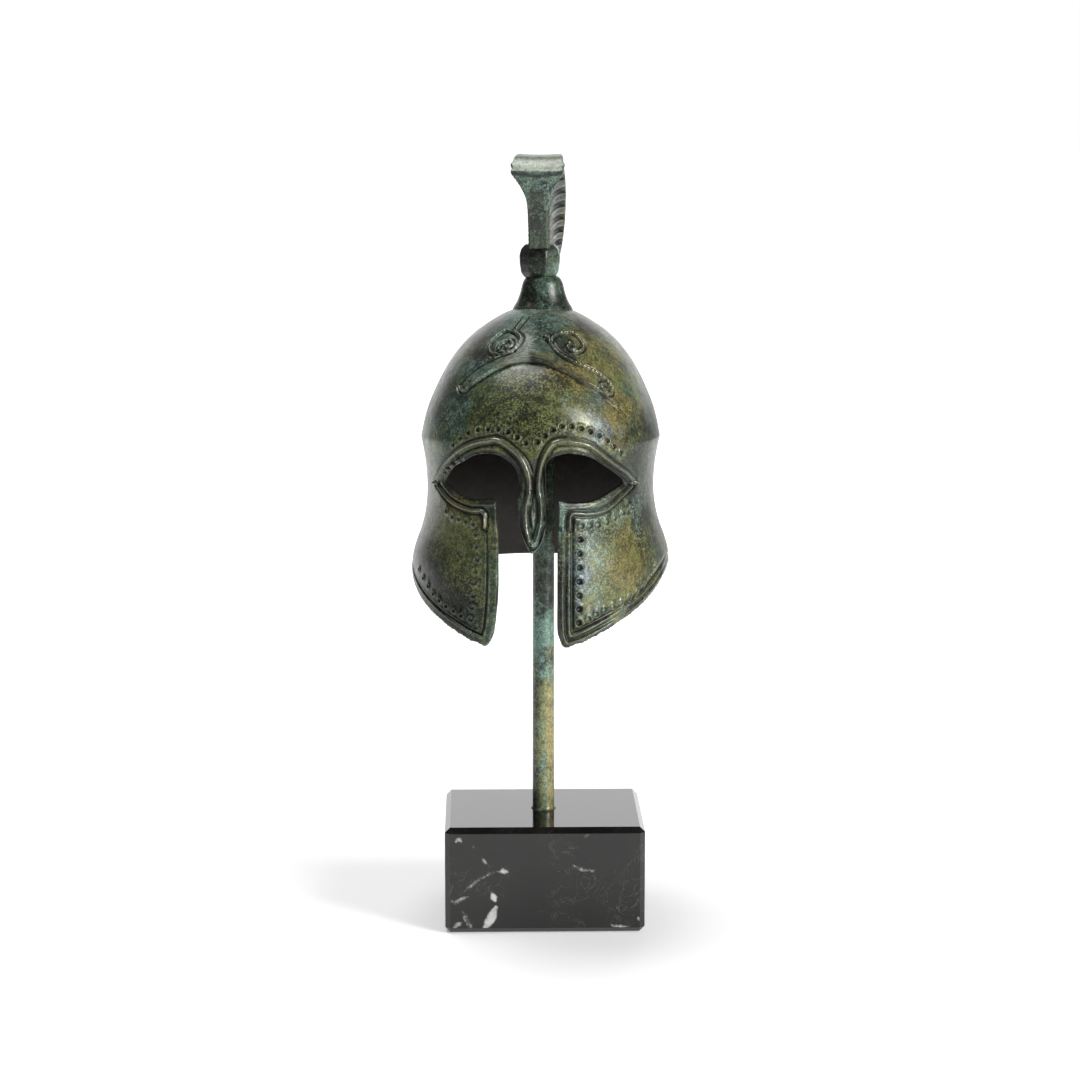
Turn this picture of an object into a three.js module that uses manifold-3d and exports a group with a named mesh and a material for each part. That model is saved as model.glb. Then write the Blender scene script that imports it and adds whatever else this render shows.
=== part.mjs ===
// Miniature Greek helmet in cast bronze: a domed shell with nose guard, cheek guards
// and neck guard, a fan crest on a collar and a flared foot, and a rod that carries
// it over a block of black marble.
//
// Units are millimetres. +Z is up and -Y is the front. The origin is the middle of
// the block's underside, straight below the rod.

import * as THREE from 'three';
import { ConvexGeometry } from 'three/addons/geometries/ConvexGeometry.js';
import { mergeVertices } from 'three/addons/utils/BufferGeometryUtils.js';
import Module from 'manifold-3d';

const wasm = await Module();
wasm.setup();

// ---------------------------------------------------------------- driving dimensions

const GAP = 0.3;

const BLOCK = { width: 50, depth: 40, height: 27, chamfer: 1.3 };

const ROD = { radius: 2.75, socketDepth: 12, top: 152.4, sides: 32 };

// The helmet's own middle lies ahead of the rod, and the face looks a little to one side.
const HELMET = { turn: THREE.MathUtils.degToRad(-6.5), ahead: 6, wall: 1.8, apex: 156.5 };

// Horizontal sections of the outer surface, measured from the helmet's own middle:
// half width to the side, reach to the front and reach to the back, and how much higher
// a section lies at its front. The dome ends in a ridge at 124, where the skirt of cheek
// and neck guards begins. The square number is 2 for an ellipse, more for fuller corners.
const SECTIONS = [
  { z: 155.6, half: 4.6, front: 5.2, back: 5.6, rise: 0, square: 2.05 },
  { z: 154.4, half: 8.5, front: 9.8, back: 10.3, rise: 0, square: 2.05 },
  { z: 151.9, half: 12.9, front: 15.6, back: 16.2, rise: 0.1, square: 2.1 },
  { z: 149.4, half: 16.4, front: 20.4, back: 20.8, rise: 0.2, square: 2.1 },
  { z: 146.4, half: 19.4, front: 24.9, back: 25.0, rise: 0.4, square: 2.15 },
  { z: 143.0, half: 22.0, front: 28.8, back: 28.7, rise: 0.6, square: 2.15 },
  { z: 139.4, half: 24.1, front: 31.9, back: 31.8, rise: 0.9, square: 2.2 },
  { z: 135.6, half: 25.9, front: 34.4, back: 34.2, rise: 1.3, square: 2.2 },
  { z: 131.9, half: 27.4, front: 36.1, back: 35.9, rise: 1.7, square: 2.25 },
  { z: 128.0, half: 28.5, front: 37.3, back: 37.0, rise: 2.1, square: 2.25 },
  { z: 124.0, half: 29.3, front: 38.1, back: 37.8, rise: 2.5, square: 2.25 },
  { z: 121.0, half: 28.7, front: 38.4, back: 37.1, rise: 2.2, square: 2.25 },
  { z: 117.2, half: 28.1, front: 38.6, back: 36.1, rise: 1.6, square: 2.25 },
  { z: 113.0, half: 27.8, front: 38.8, back: 35.1, rise: 1.0, square: 2.25 },
  { z: 109.0, half: 27.9, front: 39.0, back: 34.6, rise: 0.6, square: 2.25 },
  { z: 105.0, half: 28.5, front: 39.3, back: 34.5, rise: 0.3, square: 2.25 },
  { z: 101.6, half: 29.4, front: 39.6, back: 34.9, rise: 0, square: 2.25 },
  { z: 98.4, half: 30.6, front: 39.8, back: 36.0, rise: 0, square: 2.25 },
  { z: 95.2, half: 31.5, front: 40.0, back: 37.6, rise: 0, square: 2.25 },
  { z: 92.0, half: 31.9, front: 40.2, back: 39.4, rise: 0, square: 2.25 },
  { z: 88.5, half: 32.1, front: 40.35, back: 41.0, rise: 0, square: 2.25 },
  { z: 84.0, half: 32.1, front: 40.5, back: 42.0, rise: 0, square: 2.25 },
  { z: 74.0, half: 32.1, front: 40.8, back: 42.4, rise: 0, square: 2.25 },
];
const COLUMNS = 56;

// Lower edge of the shell seen from the side, [forward(-) or back(+), height], from the
// cheek tips up to the ear and down again to the neck guard.
const LOWER_EDGE = [
  [-44, 75.3], [-39.5, 77.9], [-35.5, 80.8], [-30.8, 83.4], [-25.3, 85.8], [-18, 88.5],
  [-10.5, 90.7], [-3, 91.8], [5, 91.6], [15, 89.6], [26, 87.6], [45, 86.9],
];

// The opening of the face seen from the front, [side, height], as smooth runs that meet
// in corners: one cheek edge, one eye, round the nose guard, the other eye and cheek.
const FACE_OPENING = [
  [[-10.2, 74], [-9.2, 78], [-8, 80.2], [-7.1, 84], [-6.6, 92], [-6.6, 102], [-7.2, 113.6]],
  [[-7.2, 113.6], [-9.4, 113.4], [-13.9, 113.1], [-17.9, 114.3], [-20.6, 116.1]],
  [[-20.6, 116.1], [-18.6, 119.2], [-16, 121.4], [-12.6, 123.4], [-9.4, 124.1], [-6.5, 123.7],
    [-4.2, 122.4], [-2.4, 120.3], [-1.9, 117.4], [-2.2, 114.2], [-2.3, 110.2], [-1.4, 106.2],
    [0.3, 102], [1.4, 100.3]],
  [[1.4, 100.3], [3.6, 103], [4.8, 108], [4.8, 113.6], [4.6, 117.5], [4.6, 120.6], [5.4, 122.9],
    [7.9, 124.1], [11, 124.2], [14.6, 123], [18.6, 120.1], [22.3, 116.3]],
  [[22.3, 116.3], [19, 114.4], [15, 112.9], [10.9, 112.7], [7.3, 113.5]],
  [[7.3, 113.5], [7.3, 99.4], [7.4, 84], [7.9, 80.2], [9.4, 76.4], [10.2, 74]],
];

// Raised lines on the outside seen from the front: centre line, width and height.
const RELIEFS = [
  { name: 'eye ridge and nose ridge, one side', width: 1.3, height: 0.7,
    line: [[-24.2, 114.4], [-22.3, 116.9], [-19.2, 121.6], [-14.4, 125.5], [-8.6, 127.3], [-4.6, 126.2],
      [-1.5, 123.7], [0.2, 120.5], [0.7, 116.6], [0.1, 111.4], [0.5, 107], [1.4, 103.4]] },
  { name: 'eye ridge and nose ridge, other side', width: 1.3, height: 0.7,
    line: [[25.4, 114.6], [22.9, 118.2], [19, 122.1], [14.9, 125.7], [11, 127.1], [7.4, 127.3],
      [4.8, 125.4], [3.2, 121.6], [2.9, 116.7], [3.4, 112.3], [3.3, 107.6], [2.2, 104]] },
  { name: 'lower lid and cheek border, one side', width: 1.2, height: 0.5,
    line: [[-24, 115.8], [-20.4, 112.6], [-17.8, 111.2], [-14, 110.3], [-10.4, 110.2], [-9.2, 107.6],
      [-8.9, 98], [-9.1, 88], [-9.8, 82.2]] },
  { name: 'lower lid and cheek border, other side', width: 1.2, height: 0.5,
    line: [[25.6, 116.2], [21.8, 112.6], [18.6, 110.6], [14.8, 109.8], [10.9, 110.1], [9.4, 107.4],
      [9.2, 98], [9.3, 88], [9.8, 82.4]] },
  { name: 'lower cheek border, one side', width: 1.2, height: 0.5,
    line: [[-10.6, 81], [-15.4, 83], [-20, 85.6], [-24.2, 88.4], [-27.4, 91.6], [-29.4, 95]] },
  { name: 'lower cheek border, other side', width: 1.2, height: 0.5,
    line: [[10.6, 81.2], [15.6, 83], [20.6, 85.6], [25, 88.6], [28.2, 92], [30, 95.4]] },
  { name: 'scroll over the brow, one side', width: 0.9, height: 0.45,
    line: [[-16.2, 137.2], [-17.2, 138.8], [-15.6, 141.2], [-12.4, 143.3], [-9.4, 144.6], [-5.6, 145.4],
      [-2.6, 147], [-1.8, 149.2], [-3.4, 151.2], [-7.6, 151.2], [-10, 149.3], [-10.1, 147.4],
      [-8.2, 146.8]] },
  { name: 'scroll over the brow, other side', width: 0.9, height: 0.45,
    line: [[17.4, 137.4], [18.9, 137.8], [18.4, 140], [16, 142.2], [13.4, 143.3], [9.5, 144.6],
      [6.4, 146.4], [4.6, 148.8], [5.6, 150.4], [9.4, 150.1], [11.5, 148.8], [11.4, 147.2],
      [9, 147]] },
];

// The brow stands proud below an arch that runs from temple to temple.
const BROW_PLATE = {
  height: 0.4,
  arch: [[-24.6, 126.5], [-20.6, 132], [-15.4, 136.8], [-9.9, 140.1], [-5.8, 142.5], [-2.8, 143.9],
    [0.4, 144.4], [3.8, 143.9], [8.7, 142], [12.8, 139.9], [17.4, 136.9], [21.8, 132.4], [25.6, 127]],
  foot: [[25.4, 114.6], [19, 122.1], [11, 127.1], [4.8, 125.4], [2.9, 116.7], [0.7, 116.6],
    [-1.5, 123.7], [-8.6, 127.3], [-19.2, 121.6], [-24.2, 114.4]],
};

// The flared foot and the collar are turned shapes, [radius, height], on upright axes.
const FOOT = {
  side: 0.2,
  back: 1.5,
  underside: 150,
  profile: [[7.5, 154.8], [7.1, 155.7], [6.4, 156.8], [5.9, 158], [5.5, 159.2], [5.2, 160.5], [4.8, 161.8],
    [4.3, 162.6]],
};
const COLLAR = {
  side: -0.5,
  back: 1.5,
  profile: [[3.9, 163], [4.7, 163.8], [5, 166.2], [5.1, 168.4], [4.5, 170.2], [3.4, 171]],
};
const TURNED_SIDES = 28;

// The crest is a fan of ribs. Each station runs from an inner point to an outer point,
// [back, height], from the front edge over the top to the rear end, with the half width
// of its outer edge and of its flank.
const CREST_STATIONS = [
  { inner: [-6, 171.3], outer: [-11.4, 188.2], edge: 6.55, flank: 2.15 },
  { inner: [-5.4, 171.2], outer: [-9.4, 190.9], edge: 6.3, flank: 2.5 },
  { inner: [-4.6, 171.2], outer: [-6.6, 192.8], edge: 6, flank: 3.6 },
  { inner: [-2.5, 171.2], outer: [-1.5, 193.2], edge: 5.2, flank: 3.8 },
  { inner: [0, 171.1], outer: [6, 191.6], edge: 4.8, flank: 3.9 },
  { inner: [3, 170.8], outer: [13, 188.3], edge: 4.7, flank: 3.9 },
  { inner: [5, 170], outer: [19, 183.3], edge: 4.5, flank: 3.8 },
  { inner: [6, 168.8], outer: [22.8, 176.5], edge: 4.0, flank: 3.4 },
  { inner: [6.4, 167.5], outer: [23.8, 170.4], edge: 3.3, flank: 2.9 },
  { inner: [6.4, 166.6], outer: [23, 166.8], edge: 2.7, flank: 2.4 },
];
const CREST_RIBS = { first: 2, count: 16, depth: 0.4 };
// Half width along a station: share of the way out, and how far the width has gone from
// the flank's to the outer edge's.
const CREST_SPREAD = [
  { out: 0, spread: 0 },
  { out: 0.3, spread: 0 },
  { out: 0.53, spread: 0.03 },
  { out: 0.7, spread: 0.25 },
  { out: 0.85, spread: 0.62 },
  { out: 0.97, spread: 1 },
  { out: 1, spread: 0.95 },
];

// ---------------------------------------------------------------- solids and meshes

function toSolid(geometry) {
  const bare = geometry.clone();
  bare.deleteAttribute('normal');
  bare.deleteAttribute('uv');
  const merged = mergeVertices(bare, 1e-4);
  return new wasm.Manifold(new wasm.Mesh({
    numProp: 3,
    vertProperties: Float32Array.from(merged.attributes.position.array),
    triVerts: Uint32Array.from(merged.index.array),
  }));
}

function toGeometry(solid) {
  const { vertProperties, triVerts } = solid.getMesh();
  const geometry = new THREE.BufferGeometry();
  geometry.setAttribute('position', new THREE.BufferAttribute(vertProperties, 3));
  geometry.setIndex(new THREE.BufferAttribute(triVerts, 1));
  geometry.computeVertexNormals();
  return geometry;
}

// A grid of points, each row a closed ring, becomes a skin of triangles. Poles at the
// first and the last row are optional; outward rows run top to bottom.
function stitchRings(rings, { firstPole, lastPole }) {
  const positions = [];
  const indices = [];
  const count = rings[0].length;
  rings.flat().forEach((point) => positions.push(...point));
  for (let row = 0; row + 1 < rings.length; row += 1) {
    for (let column = 0; column < count; column += 1) {
      const next = (column + 1) % count;
      const a = row * count + column;
      const b = row * count + next;
      indices.push(a, a + count, b, b, a + count, b + count);
    }
  }
  const fan = (pole, row, flip) => {
    const centre = positions.length / 3;
    positions.push(...pole);
    for (let column = 0; column < count; column += 1) {
      const a = row * count + column;
      const b = row * count + (column + 1) % count;
      indices.push(...(flip ? [centre, a, b] : [centre, b, a]));
    }
  };
  if (firstPole) fan(firstPole, 0, true);
  if (lastPole) fan(lastPole, rings.length - 1, false);
  const geometry = new THREE.BufferGeometry();
  geometry.setAttribute('position', new THREE.Float32BufferAttribute(positions, 3));
  geometry.setIndex(indices);
  return geometry;
}

// A smooth line through a few points, as [x, y] pairs.
function smooth(points, stepsPerSpan) {
  const curve = new THREE.SplineCurve(points.map(([x, y]) => new THREE.Vector2(x, y)));
  return curve.getPoints(stepsPerSpan * (points.length - 1)).map((p) => [p.x, p.y]);
}

// A flat outline of [side, height] becomes a prism that runs front to back.
function frontPrism(outline, from, to) {
  const shape = new THREE.Shape(outline.map(([x, z]) => new THREE.Vector2(x, z)));
  const geometry = new THREE.ExtrudeGeometry(shape, { depth: to - from, bevelEnabled: false });
  geometry.rotateX(Math.PI / 2);
  geometry.translate(0, to, 0);
  return toSolid(geometry);
}

// A flat outline of [back, height] becomes a prism that runs from side to side.
function sidePrism(outline, halfWidth) {
  const shape = new THREE.Shape(outline.map(([y, z]) => new THREE.Vector2(y, z)));
  const geometry = new THREE.ExtrudeGeometry(shape, { depth: 2 * halfWidth, bevelEnabled: false });
  geometry.applyMatrix4(new THREE.Matrix4().makeBasis(
    new THREE.Vector3(0, 1, 0),
    new THREE.Vector3(0, 0, 1),
    new THREE.Vector3(1, 0, 0),
  ));
  geometry.translate(-halfWidth, 0, 0);
  return toSolid(geometry);
}

// ---------------------------------------------------------------- helmet shell

function sectionRing({ z, half, front, back, rise, square }) {
  const ring = [];
  for (let column = 0; column < COLUMNS; column += 1) {
    const turn = (2 * Math.PI * column) / COLUMNS;
    const side = Math.cos(turn);
    const along = Math.sin(turn);
    const reach = along < 0 ? front : back;
    ring.push(new THREE.Vector3(
      half * Math.sign(side) * Math.abs(side) ** (2 / square),
      reach * Math.sign(along) * Math.abs(along) ** (2 / square),
      z - rise * Math.sign(along) * Math.abs(along) ** (2 / square),
    ));
  }
  return ring;
}

// The rings of the outer surface moved along its normals: out when positive, in when negative.
function offsetRings(distance) {
  const rings = SECTIONS.map(sectionRing);
  const apex = new THREE.Vector3(0, 0, HELMET.apex);
  return rings.map((ring, row) => ring.map((point, column) => {
    const above = row === 0 ? apex : rings[row - 1][column];
    const below = rings[Math.min(row + 1, rings.length - 1)][column];
    const left = ring[(column + COLUMNS - 1) % COLUMNS];
    const right = ring[(column + 1) % COLUMNS];
    const around = right.clone().sub(left);
    const down = below.clone().sub(above);
    const normal = down.cross(around).normalize();
    return point.clone().addScaledVector(normal, distance).toArray();
  }));
}

// A layer of the shell between two distances from the outer surface.
function shellLayer(inner, outer) {
  const outside = offsetRings(outer);
  const inside = offsetRings(inner).reverse();
  return toSolid(stitchRings([...outside, ...inside], {
    firstPole: [0, 0, HELMET.apex + outer],
    lastPole: [0, 0, HELMET.apex + inner],
  }));
}

// The whole space inside the outer surface moved out by a distance.
function filledHelmet(distance) {
  const rings = offsetRings(distance);
  const lowest = SECTIONS.at(-1).z;
  return toSolid(stitchRings(rings, {
    firstPole: [0, 0, HELMET.apex + distance],
    lastPole: [0, 0, lowest],
  }));
}

// A ribbon of even width along a line, as a closed outline.
function ribbon(line, width) {
  const points = smooth(line, 2);
  const left = [];
  const right = [];
  points.forEach(([x, z], index) => {
    const [ax, az] = points[Math.max(index - 1, 0)];
    const [bx, bz] = points[Math.min(index + 1, points.length - 1)];
    const scale = width / 2 / Math.hypot(bx - ax, bz - az);
    left.push([x - (bz - az) * scale, z + (bx - ax) * scale]);
    right.unshift([x + (bz - az) * scale, z - (bx - ax) * scale]);
  });
  return [...left, ...right];
}

function makeHelmetShell() {
  const front = -60;
  const middle = -6;
  const floor = 60;
  let shell = shellLayer(-HELMET.wall, 0);
  for (const { line, width, height } of RELIEFS) {
    const strip = frontPrism(ribbon(line, width), front, middle);
    shell = shell.add(shellLayer(-HELMET.wall / 2, height).intersect(strip));
  }
  const plate = frontPrism([...smooth(BROW_PLATE.arch, 2), ...BROW_PLATE.foot], front, middle);
  shell = shell.add(shellLayer(-HELMET.wall / 2, BROW_PLATE.height).intersect(plate));
  const opening = FACE_OPENING.flatMap((run) => smooth(run, 2).slice(1));
  shell = shell.subtract(frontPrism(opening, front, middle));
  const edge = smooth(LOWER_EDGE, 2);
  const [frontEnd] = edge[0];
  const [backEnd] = edge.at(-1);
  shell = shell.subtract(sidePrism([...edge, [backEnd, floor], [frontEnd, floor]], BLOCK.width));
  return toGeometry(shell);
}

// ---------------------------------------------------------------- crest and its carriers

function turned(profile, { side, back }) {
  const points = [[0, profile[0][1]], ...profile, [0, profile.at(-1)[1]]];
  const lathe = new THREE.LatheGeometry(points.map(([r, z]) => new THREE.Vector2(r, z)), TURNED_SIDES);
  lathe.rotateX(Math.PI / 2);
  lathe.translate(side, back, 0);
  return lathe;
}

function makeCrestFoot() {
  const [widest] = FOOT.profile;
  const foot = turned([[widest[0], FOOT.underside], ...FOOT.profile], FOOT);
  return toGeometry(toSolid(foot).subtract(filledHelmet(GAP)));
}

function makeCrestCollar() {
  return turned(COLLAR.profile, COLLAR);
}

// One station of the fan: a closed ring of [side, back, height] points round its section.
function crestRing({ inner, outer, edge, flank }, groove) {
  const right = CREST_SPREAD.map(({ out, spread }) => {
    const ribbed = out > 0.2 && out < 0.9;
    return [
      flank + (edge - flank) * spread - (ribbed ? groove : 0),
      THREE.MathUtils.lerp(inner[0], outer[0], out),
      THREE.MathUtils.lerp(inner[1], outer[1], out),
    ];
  });
  const left = right.map(([x, y, z]) => [-x, y, z]).reverse();
  return [...right, ...left];
}

function blendStations(place) {
  const index = Math.min(Math.floor(place), CREST_STATIONS.length - 2);
  const from = CREST_STATIONS[index];
  const to = CREST_STATIONS[index + 1];
  const mix = (a, b) => THREE.MathUtils.lerp(a, b, place - index);
  return {
    inner: [mix(from.inner[0], to.inner[0]), mix(from.inner[1], to.inner[1])],
    outer: [mix(from.outer[0], to.outer[0]), mix(from.outer[1], to.outer[1])],
    edge: mix(from.edge, to.edge),
    flank: mix(from.flank, to.flank),
  };
}

function makeCrest() {
  const { first, count, depth } = CREST_RIBS;
  const last = CREST_STATIONS.length - 1;
  const rings = CREST_STATIONS.slice(0, first).map((station) => crestRing(station, 0));
  for (let step = 0; step <= 2 * count; step += 1) {
    const place = THREE.MathUtils.lerp(first, last, step / (2 * count));
    rings.push(crestRing(blendStations(place), step % 2 === 1 ? depth : 0));
  }
  const middleOf = (ring) => [0, 1, 2]
    .map((axis) => ring.reduce((sum, point) => sum + point[axis], 0) / ring.length);
  const fan = toSolid(stitchRings(rings, {
    firstPole: middleOf(rings[0]),
    lastPole: middleOf(rings.at(-1)),
  }));
  const [topRadius, top] = COLLAR.profile.at(-1);
  const room = COLLAR.profile.map(([r, z]) => [r + GAP, z]);
  room.push([topRadius, top + GAP]);
  return toGeometry(fan.subtract(toSolid(turned(room, COLLAR))));
}

// ---------------------------------------------------------------- rod and block

function makeRod() {
  const bottom = BLOCK.height - ROD.socketDepth;
  const rod = new THREE.CylinderGeometry(ROD.radius, ROD.radius, ROD.top - bottom, ROD.sides);
  rod.rotateX(Math.PI / 2);
  rod.translate(0, 0, (ROD.top + bottom) / 2);
  return rod;
}

function makeBlock() {
  const half = [BLOCK.width / 2, BLOCK.depth / 2, BLOCK.height / 2];
  const corners = [];
  for (const x of [-1, 1]) {
    for (const y of [-1, 1]) {
      for (const z of [-1, 1]) {
        const signs = [x, y, z];
        for (let full = 0; full < 3; full += 1) {
          const corner = signs.map((sign, axis) => sign * (half[axis] - (axis === full ? 0 : BLOCK.chamfer)));
          corners.push(new THREE.Vector3(...corner));
        }
      }
    }
  }
  const block = new ConvexGeometry(corners);
  block.translate(0, 0, BLOCK.height / 2);
  const depth = ROD.socketDepth + GAP;
  const socket = new THREE.CylinderGeometry(ROD.radius + GAP, ROD.radius + GAP, 2 * depth, ROD.sides);
  socket.rotateX(Math.PI / 2);
  socket.translate(0, 0, BLOCK.height);
  return toGeometry(toSolid(block).subtract(toSolid(socket)));
}

// ---------------------------------------------------------------- assembly

const bronze = new THREE.MeshStandardMaterial({ color: '#4c5a45', roughness: 0.42, metalness: 0.6 });
const crestBronze = new THREE.MeshStandardMaterial({ color: '#4f665a', roughness: 0.45, metalness: 0.6 });
const rodBronze = new THREE.MeshStandardMaterial({ color: '#5e7358', roughness: 0.4, metalness: 0.6 });
const marble = new THREE.MeshStandardMaterial({ color: '#2e2d2e', roughness: 0.15, metalness: 0 });

function piece(name, geometry, material) {
  const mesh = new THREE.Mesh(geometry, material);
  mesh.name = name;
  return mesh;
}

const helmet = new THREE.Group();
helmet.rotation.z = HELMET.turn;
helmet.position.set(0, -HELMET.ahead, 0).applyAxisAngle(new THREE.Vector3(0, 0, 1), HELMET.turn);
helmet.add(
  piece('helmet_shell', makeHelmetShell(), bronze),
  piece('crest_foot', makeCrestFoot(), bronze),
  piece('crest_collar', makeCrestCollar(), crestBronze),
  piece('crest', makeCrest(), crestBronze),
);

const object = new THREE.Group();
object.add(
  helmet,
  piece('support_rod', makeRod(), rodBronze),
  piece('marble_base', makeBlock(), marble),
);

export default object;
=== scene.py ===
# %% [markdown]
# # A miniature Greek helmet in cast bronze
# The object is a souvenir casting: a helmet with a fan crest, carried on a rod over a
# block of black marble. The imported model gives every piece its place, in metres. It could
# be dressed with materials alone, but its facets would show, so each step below models
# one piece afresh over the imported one, with the relief that a casting has.

# %% Load the frame
import math

import bpy
import numpy as np
from mathutils import Matrix, Vector
from mathutils.kdtree import KDTree


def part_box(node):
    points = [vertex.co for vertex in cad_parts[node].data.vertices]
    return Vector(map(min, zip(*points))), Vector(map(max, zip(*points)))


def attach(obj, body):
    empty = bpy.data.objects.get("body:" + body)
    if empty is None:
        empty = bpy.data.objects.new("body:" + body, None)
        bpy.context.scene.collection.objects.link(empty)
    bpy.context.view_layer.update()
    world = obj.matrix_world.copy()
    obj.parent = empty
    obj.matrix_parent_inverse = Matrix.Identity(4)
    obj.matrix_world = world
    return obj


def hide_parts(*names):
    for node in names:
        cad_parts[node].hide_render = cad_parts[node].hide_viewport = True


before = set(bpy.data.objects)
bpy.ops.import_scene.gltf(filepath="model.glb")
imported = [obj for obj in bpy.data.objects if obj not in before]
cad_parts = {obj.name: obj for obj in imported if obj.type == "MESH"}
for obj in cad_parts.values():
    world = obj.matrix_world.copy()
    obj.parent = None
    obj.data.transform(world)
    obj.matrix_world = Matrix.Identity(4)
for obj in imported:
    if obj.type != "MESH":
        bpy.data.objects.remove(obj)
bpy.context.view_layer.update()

# %% [markdown]
# A helmet this small has details of a few tenths of a millimetre, and operators such as
# remesh work best on sizes near one. So everything is modelled in millimetres, the helmet
# round its own middle. The last act on each piece turns it to metres and sets it in its
# place: the helmet's middle lies ahead of the rod, and its face looks a little aside.

# %% Units and places
MM = 0.001
SEED = 7
TURN = math.radians(-6.5)
AHEAD = 6.0
ROD_PLACE = Matrix.Scale(MM, 4)
HELMET_PLACE = ROD_PLACE @ Matrix.Rotation(TURN, 4, "Z") @ Matrix.Translation((0, -AHEAD, 0))


def node_size(node):
    """Width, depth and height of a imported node, and how high its top is, in millimetres."""
    low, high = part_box(node)
    return [round(v / MM, 3) for v in high - low] + [round(high.z / MM, 3)]


print("packed helmet", node_size("helmet_shell"), "mm")

# %% [markdown]
# Modelling by hand is a round of the same moves: take one piece, apply a modifier to it,
# look where its points are, move them. These helpers make each of those moves one line,
# and numpy moves a hundred thousand points as quickly as one.

# %% Helpers for meshes
def select_only(piece):
    bpy.ops.object.select_all(action="DESELECT")
    piece.select_set(True)
    bpy.context.view_layer.objects.active = piece


def apply_modifier(piece, kind, **settings):
    select_only(piece)
    modifier = piece.modifiers.new(kind.lower(), kind)
    for name, value in settings.items():
        setattr(modifier, name, value)
    bpy.ops.object.modifier_apply(modifier=modifier.name)


def get_points(piece):
    points = np.empty(len(piece.data.vertices) * 3)
    piece.data.vertices.foreach_get("co", points)
    return points.reshape(-1, 3)


def set_points(piece, points):
    piece.data.vertices.foreach_set("co", np.asarray(points, dtype=np.float64).ravel())
    piece.data.update()


def get_normals(piece):
    normals = np.empty(len(piece.data.vertices) * 3)
    piece.data.vertices.foreach_get("normal", normals)
    return normals.reshape(-1, 3)


def triangles(piece):
    return sum(len(face.vertices) - 2 for face in piece.data.polygons)


print("meshes in the packed scene:", len(bpy.data.meshes))

# %% [markdown]
# An edge on the casting is drawn as a pattern maker draws it, with a spline bent through a
# few marks. A Blender curve would do the same, but numpy keeps the points at hand for
# measuring from, and smoothstep is the soft threshold used wherever one form fades out.

# %% Helpers for lines
def smooth_line(points, steps=8):
    """A Catmull-Rom line through a few points of two or more numbers."""
    points = np.asarray(points, dtype=float)
    padded = np.vstack([2 * points[0] - points[1], points, 2 * points[-1] - points[-2]])
    line = []
    for index in range(len(points) - 1):
        a, b, c, d = padded[index:index + 4]
        for t in np.arange(steps) / steps:
            line.append(0.5 * (2 * b + (c - a) * t + (2 * a - 5 * b + 4 * c - d) * t ** 2
                               + (3 * b - a - 3 * c + d) * t ** 3))
    line.append(points[-1])
    return np.array(line)


def smoothstep(low, high, value):
    t = np.clip((value - low) / (high - low), 0, 1)
    return t * t * (3 - 2 * t)


print("three points smoothed to", len(smooth_line([(0, 0), (1, 2), (2, 0)])))

# %% [markdown]
# The shell of the real helmet was modelled by hand in wax. It could be sculpted, or lofted
# between curves, but a sculptor's templates are simpler: a short table of horizontal
# sections says how wide the helmet is, how far it reaches to the front and to the back,
# and how much higher the section lies at its front. Squares of the widths change almost
# evenly with height near the top of a dome, so they are what is interpolated, and the
# crown comes out round.

# %% Sections of the shell
APEX = 156.5
WALL = 1.8
SECTIONS = np.array([
    # height, half width, front, back, rise, squareness
    (156.5, 0.0, 0.0, 0.0, 0.0, 2.05),
    (155.6, 4.9, 5.6, 6.0, 0.0, 2.05),
    (154.4, 8.5, 9.8, 10.3, 0.0, 2.05),
    (151.9, 12.9, 15.6, 16.2, 0.1, 2.1),
    (149.4, 16.4, 20.4, 20.8, 0.2, 2.1),
    (146.4, 19.4, 24.9, 25.0, 0.4, 2.15),
    (143.0, 22.0, 28.8, 28.7, 0.6, 2.15),
    (139.4, 24.1, 31.9, 31.8, 0.9, 2.2),
    (135.6, 25.9, 34.4, 34.2, 1.3, 2.2),
    (131.9, 27.4, 36.1, 35.9, 1.7, 2.25),
    (128.0, 28.5, 37.3, 37.0, 2.1, 2.25),
    (124.0, 29.3, 38.1, 37.8, 2.5, 2.25),
    (121.0, 28.7, 38.4, 37.1, 2.2, 2.25),
    (117.2, 28.1, 38.6, 36.1, 1.6, 2.25),
    (113.0, 27.8, 38.8, 35.1, 1.0, 2.25),
    (109.0, 27.9, 39.0, 34.6, 0.6, 2.25),
    (105.0, 28.5, 39.3, 34.5, 0.3, 2.25),
    (101.6, 29.4, 39.6, 34.9, 0.0, 2.25),
    (98.4, 30.6, 39.8, 36.0, 0.0, 2.25),
    (95.2, 31.5, 40.0, 37.6, 0.0, 2.25),
    (92.0, 31.75, 40.2, 39.4, 0.0, 2.25),
    (88.5, 31.83, 40.35, 40.95, 0.0, 2.25),
    (84.0, 31.83, 40.5, 41.95, 0.0, 2.25),
    (74.0, 31.83, 40.8, 42.35, 0.0, 2.25),
])
RIDGE_ROW = 11    # the dome ends in a ridge here, and the skirt of the guards begins
LOWEST = SECTIONS[-1, 0]


def section_tables():
    """Fine tables over height of the squared reaches, smooth but for the ridge."""
    rows = np.column_stack([SECTIONS[:, 0], SECTIONS[:, 1:4] ** 2, SECTIONS[:, 4:]])
    upper = smooth_line(rows[:RIDGE_ROW + 1], 10)
    lower = smooth_line(rows[RIDGE_ROW:], 10)
    return np.vstack([upper, lower[1:]])[::-1]


FINE = section_tables()


def section_at(height):
    """Squares of half width, front and back reach, then rise and squareness."""
    height = np.clip(height, FINE[0, 0], FINE[-1, 0])
    return [np.interp(height, FINE[:, 0], FINE[:, column]) for column in range(1, 6)]


widest = section_at(SECTIONS[RIDGE_ROW:RIDGE_ROW + 1, 0])[0][0]
print("width at the ridge", round(2 * math.sqrt(widest), 2), "mm")

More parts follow.
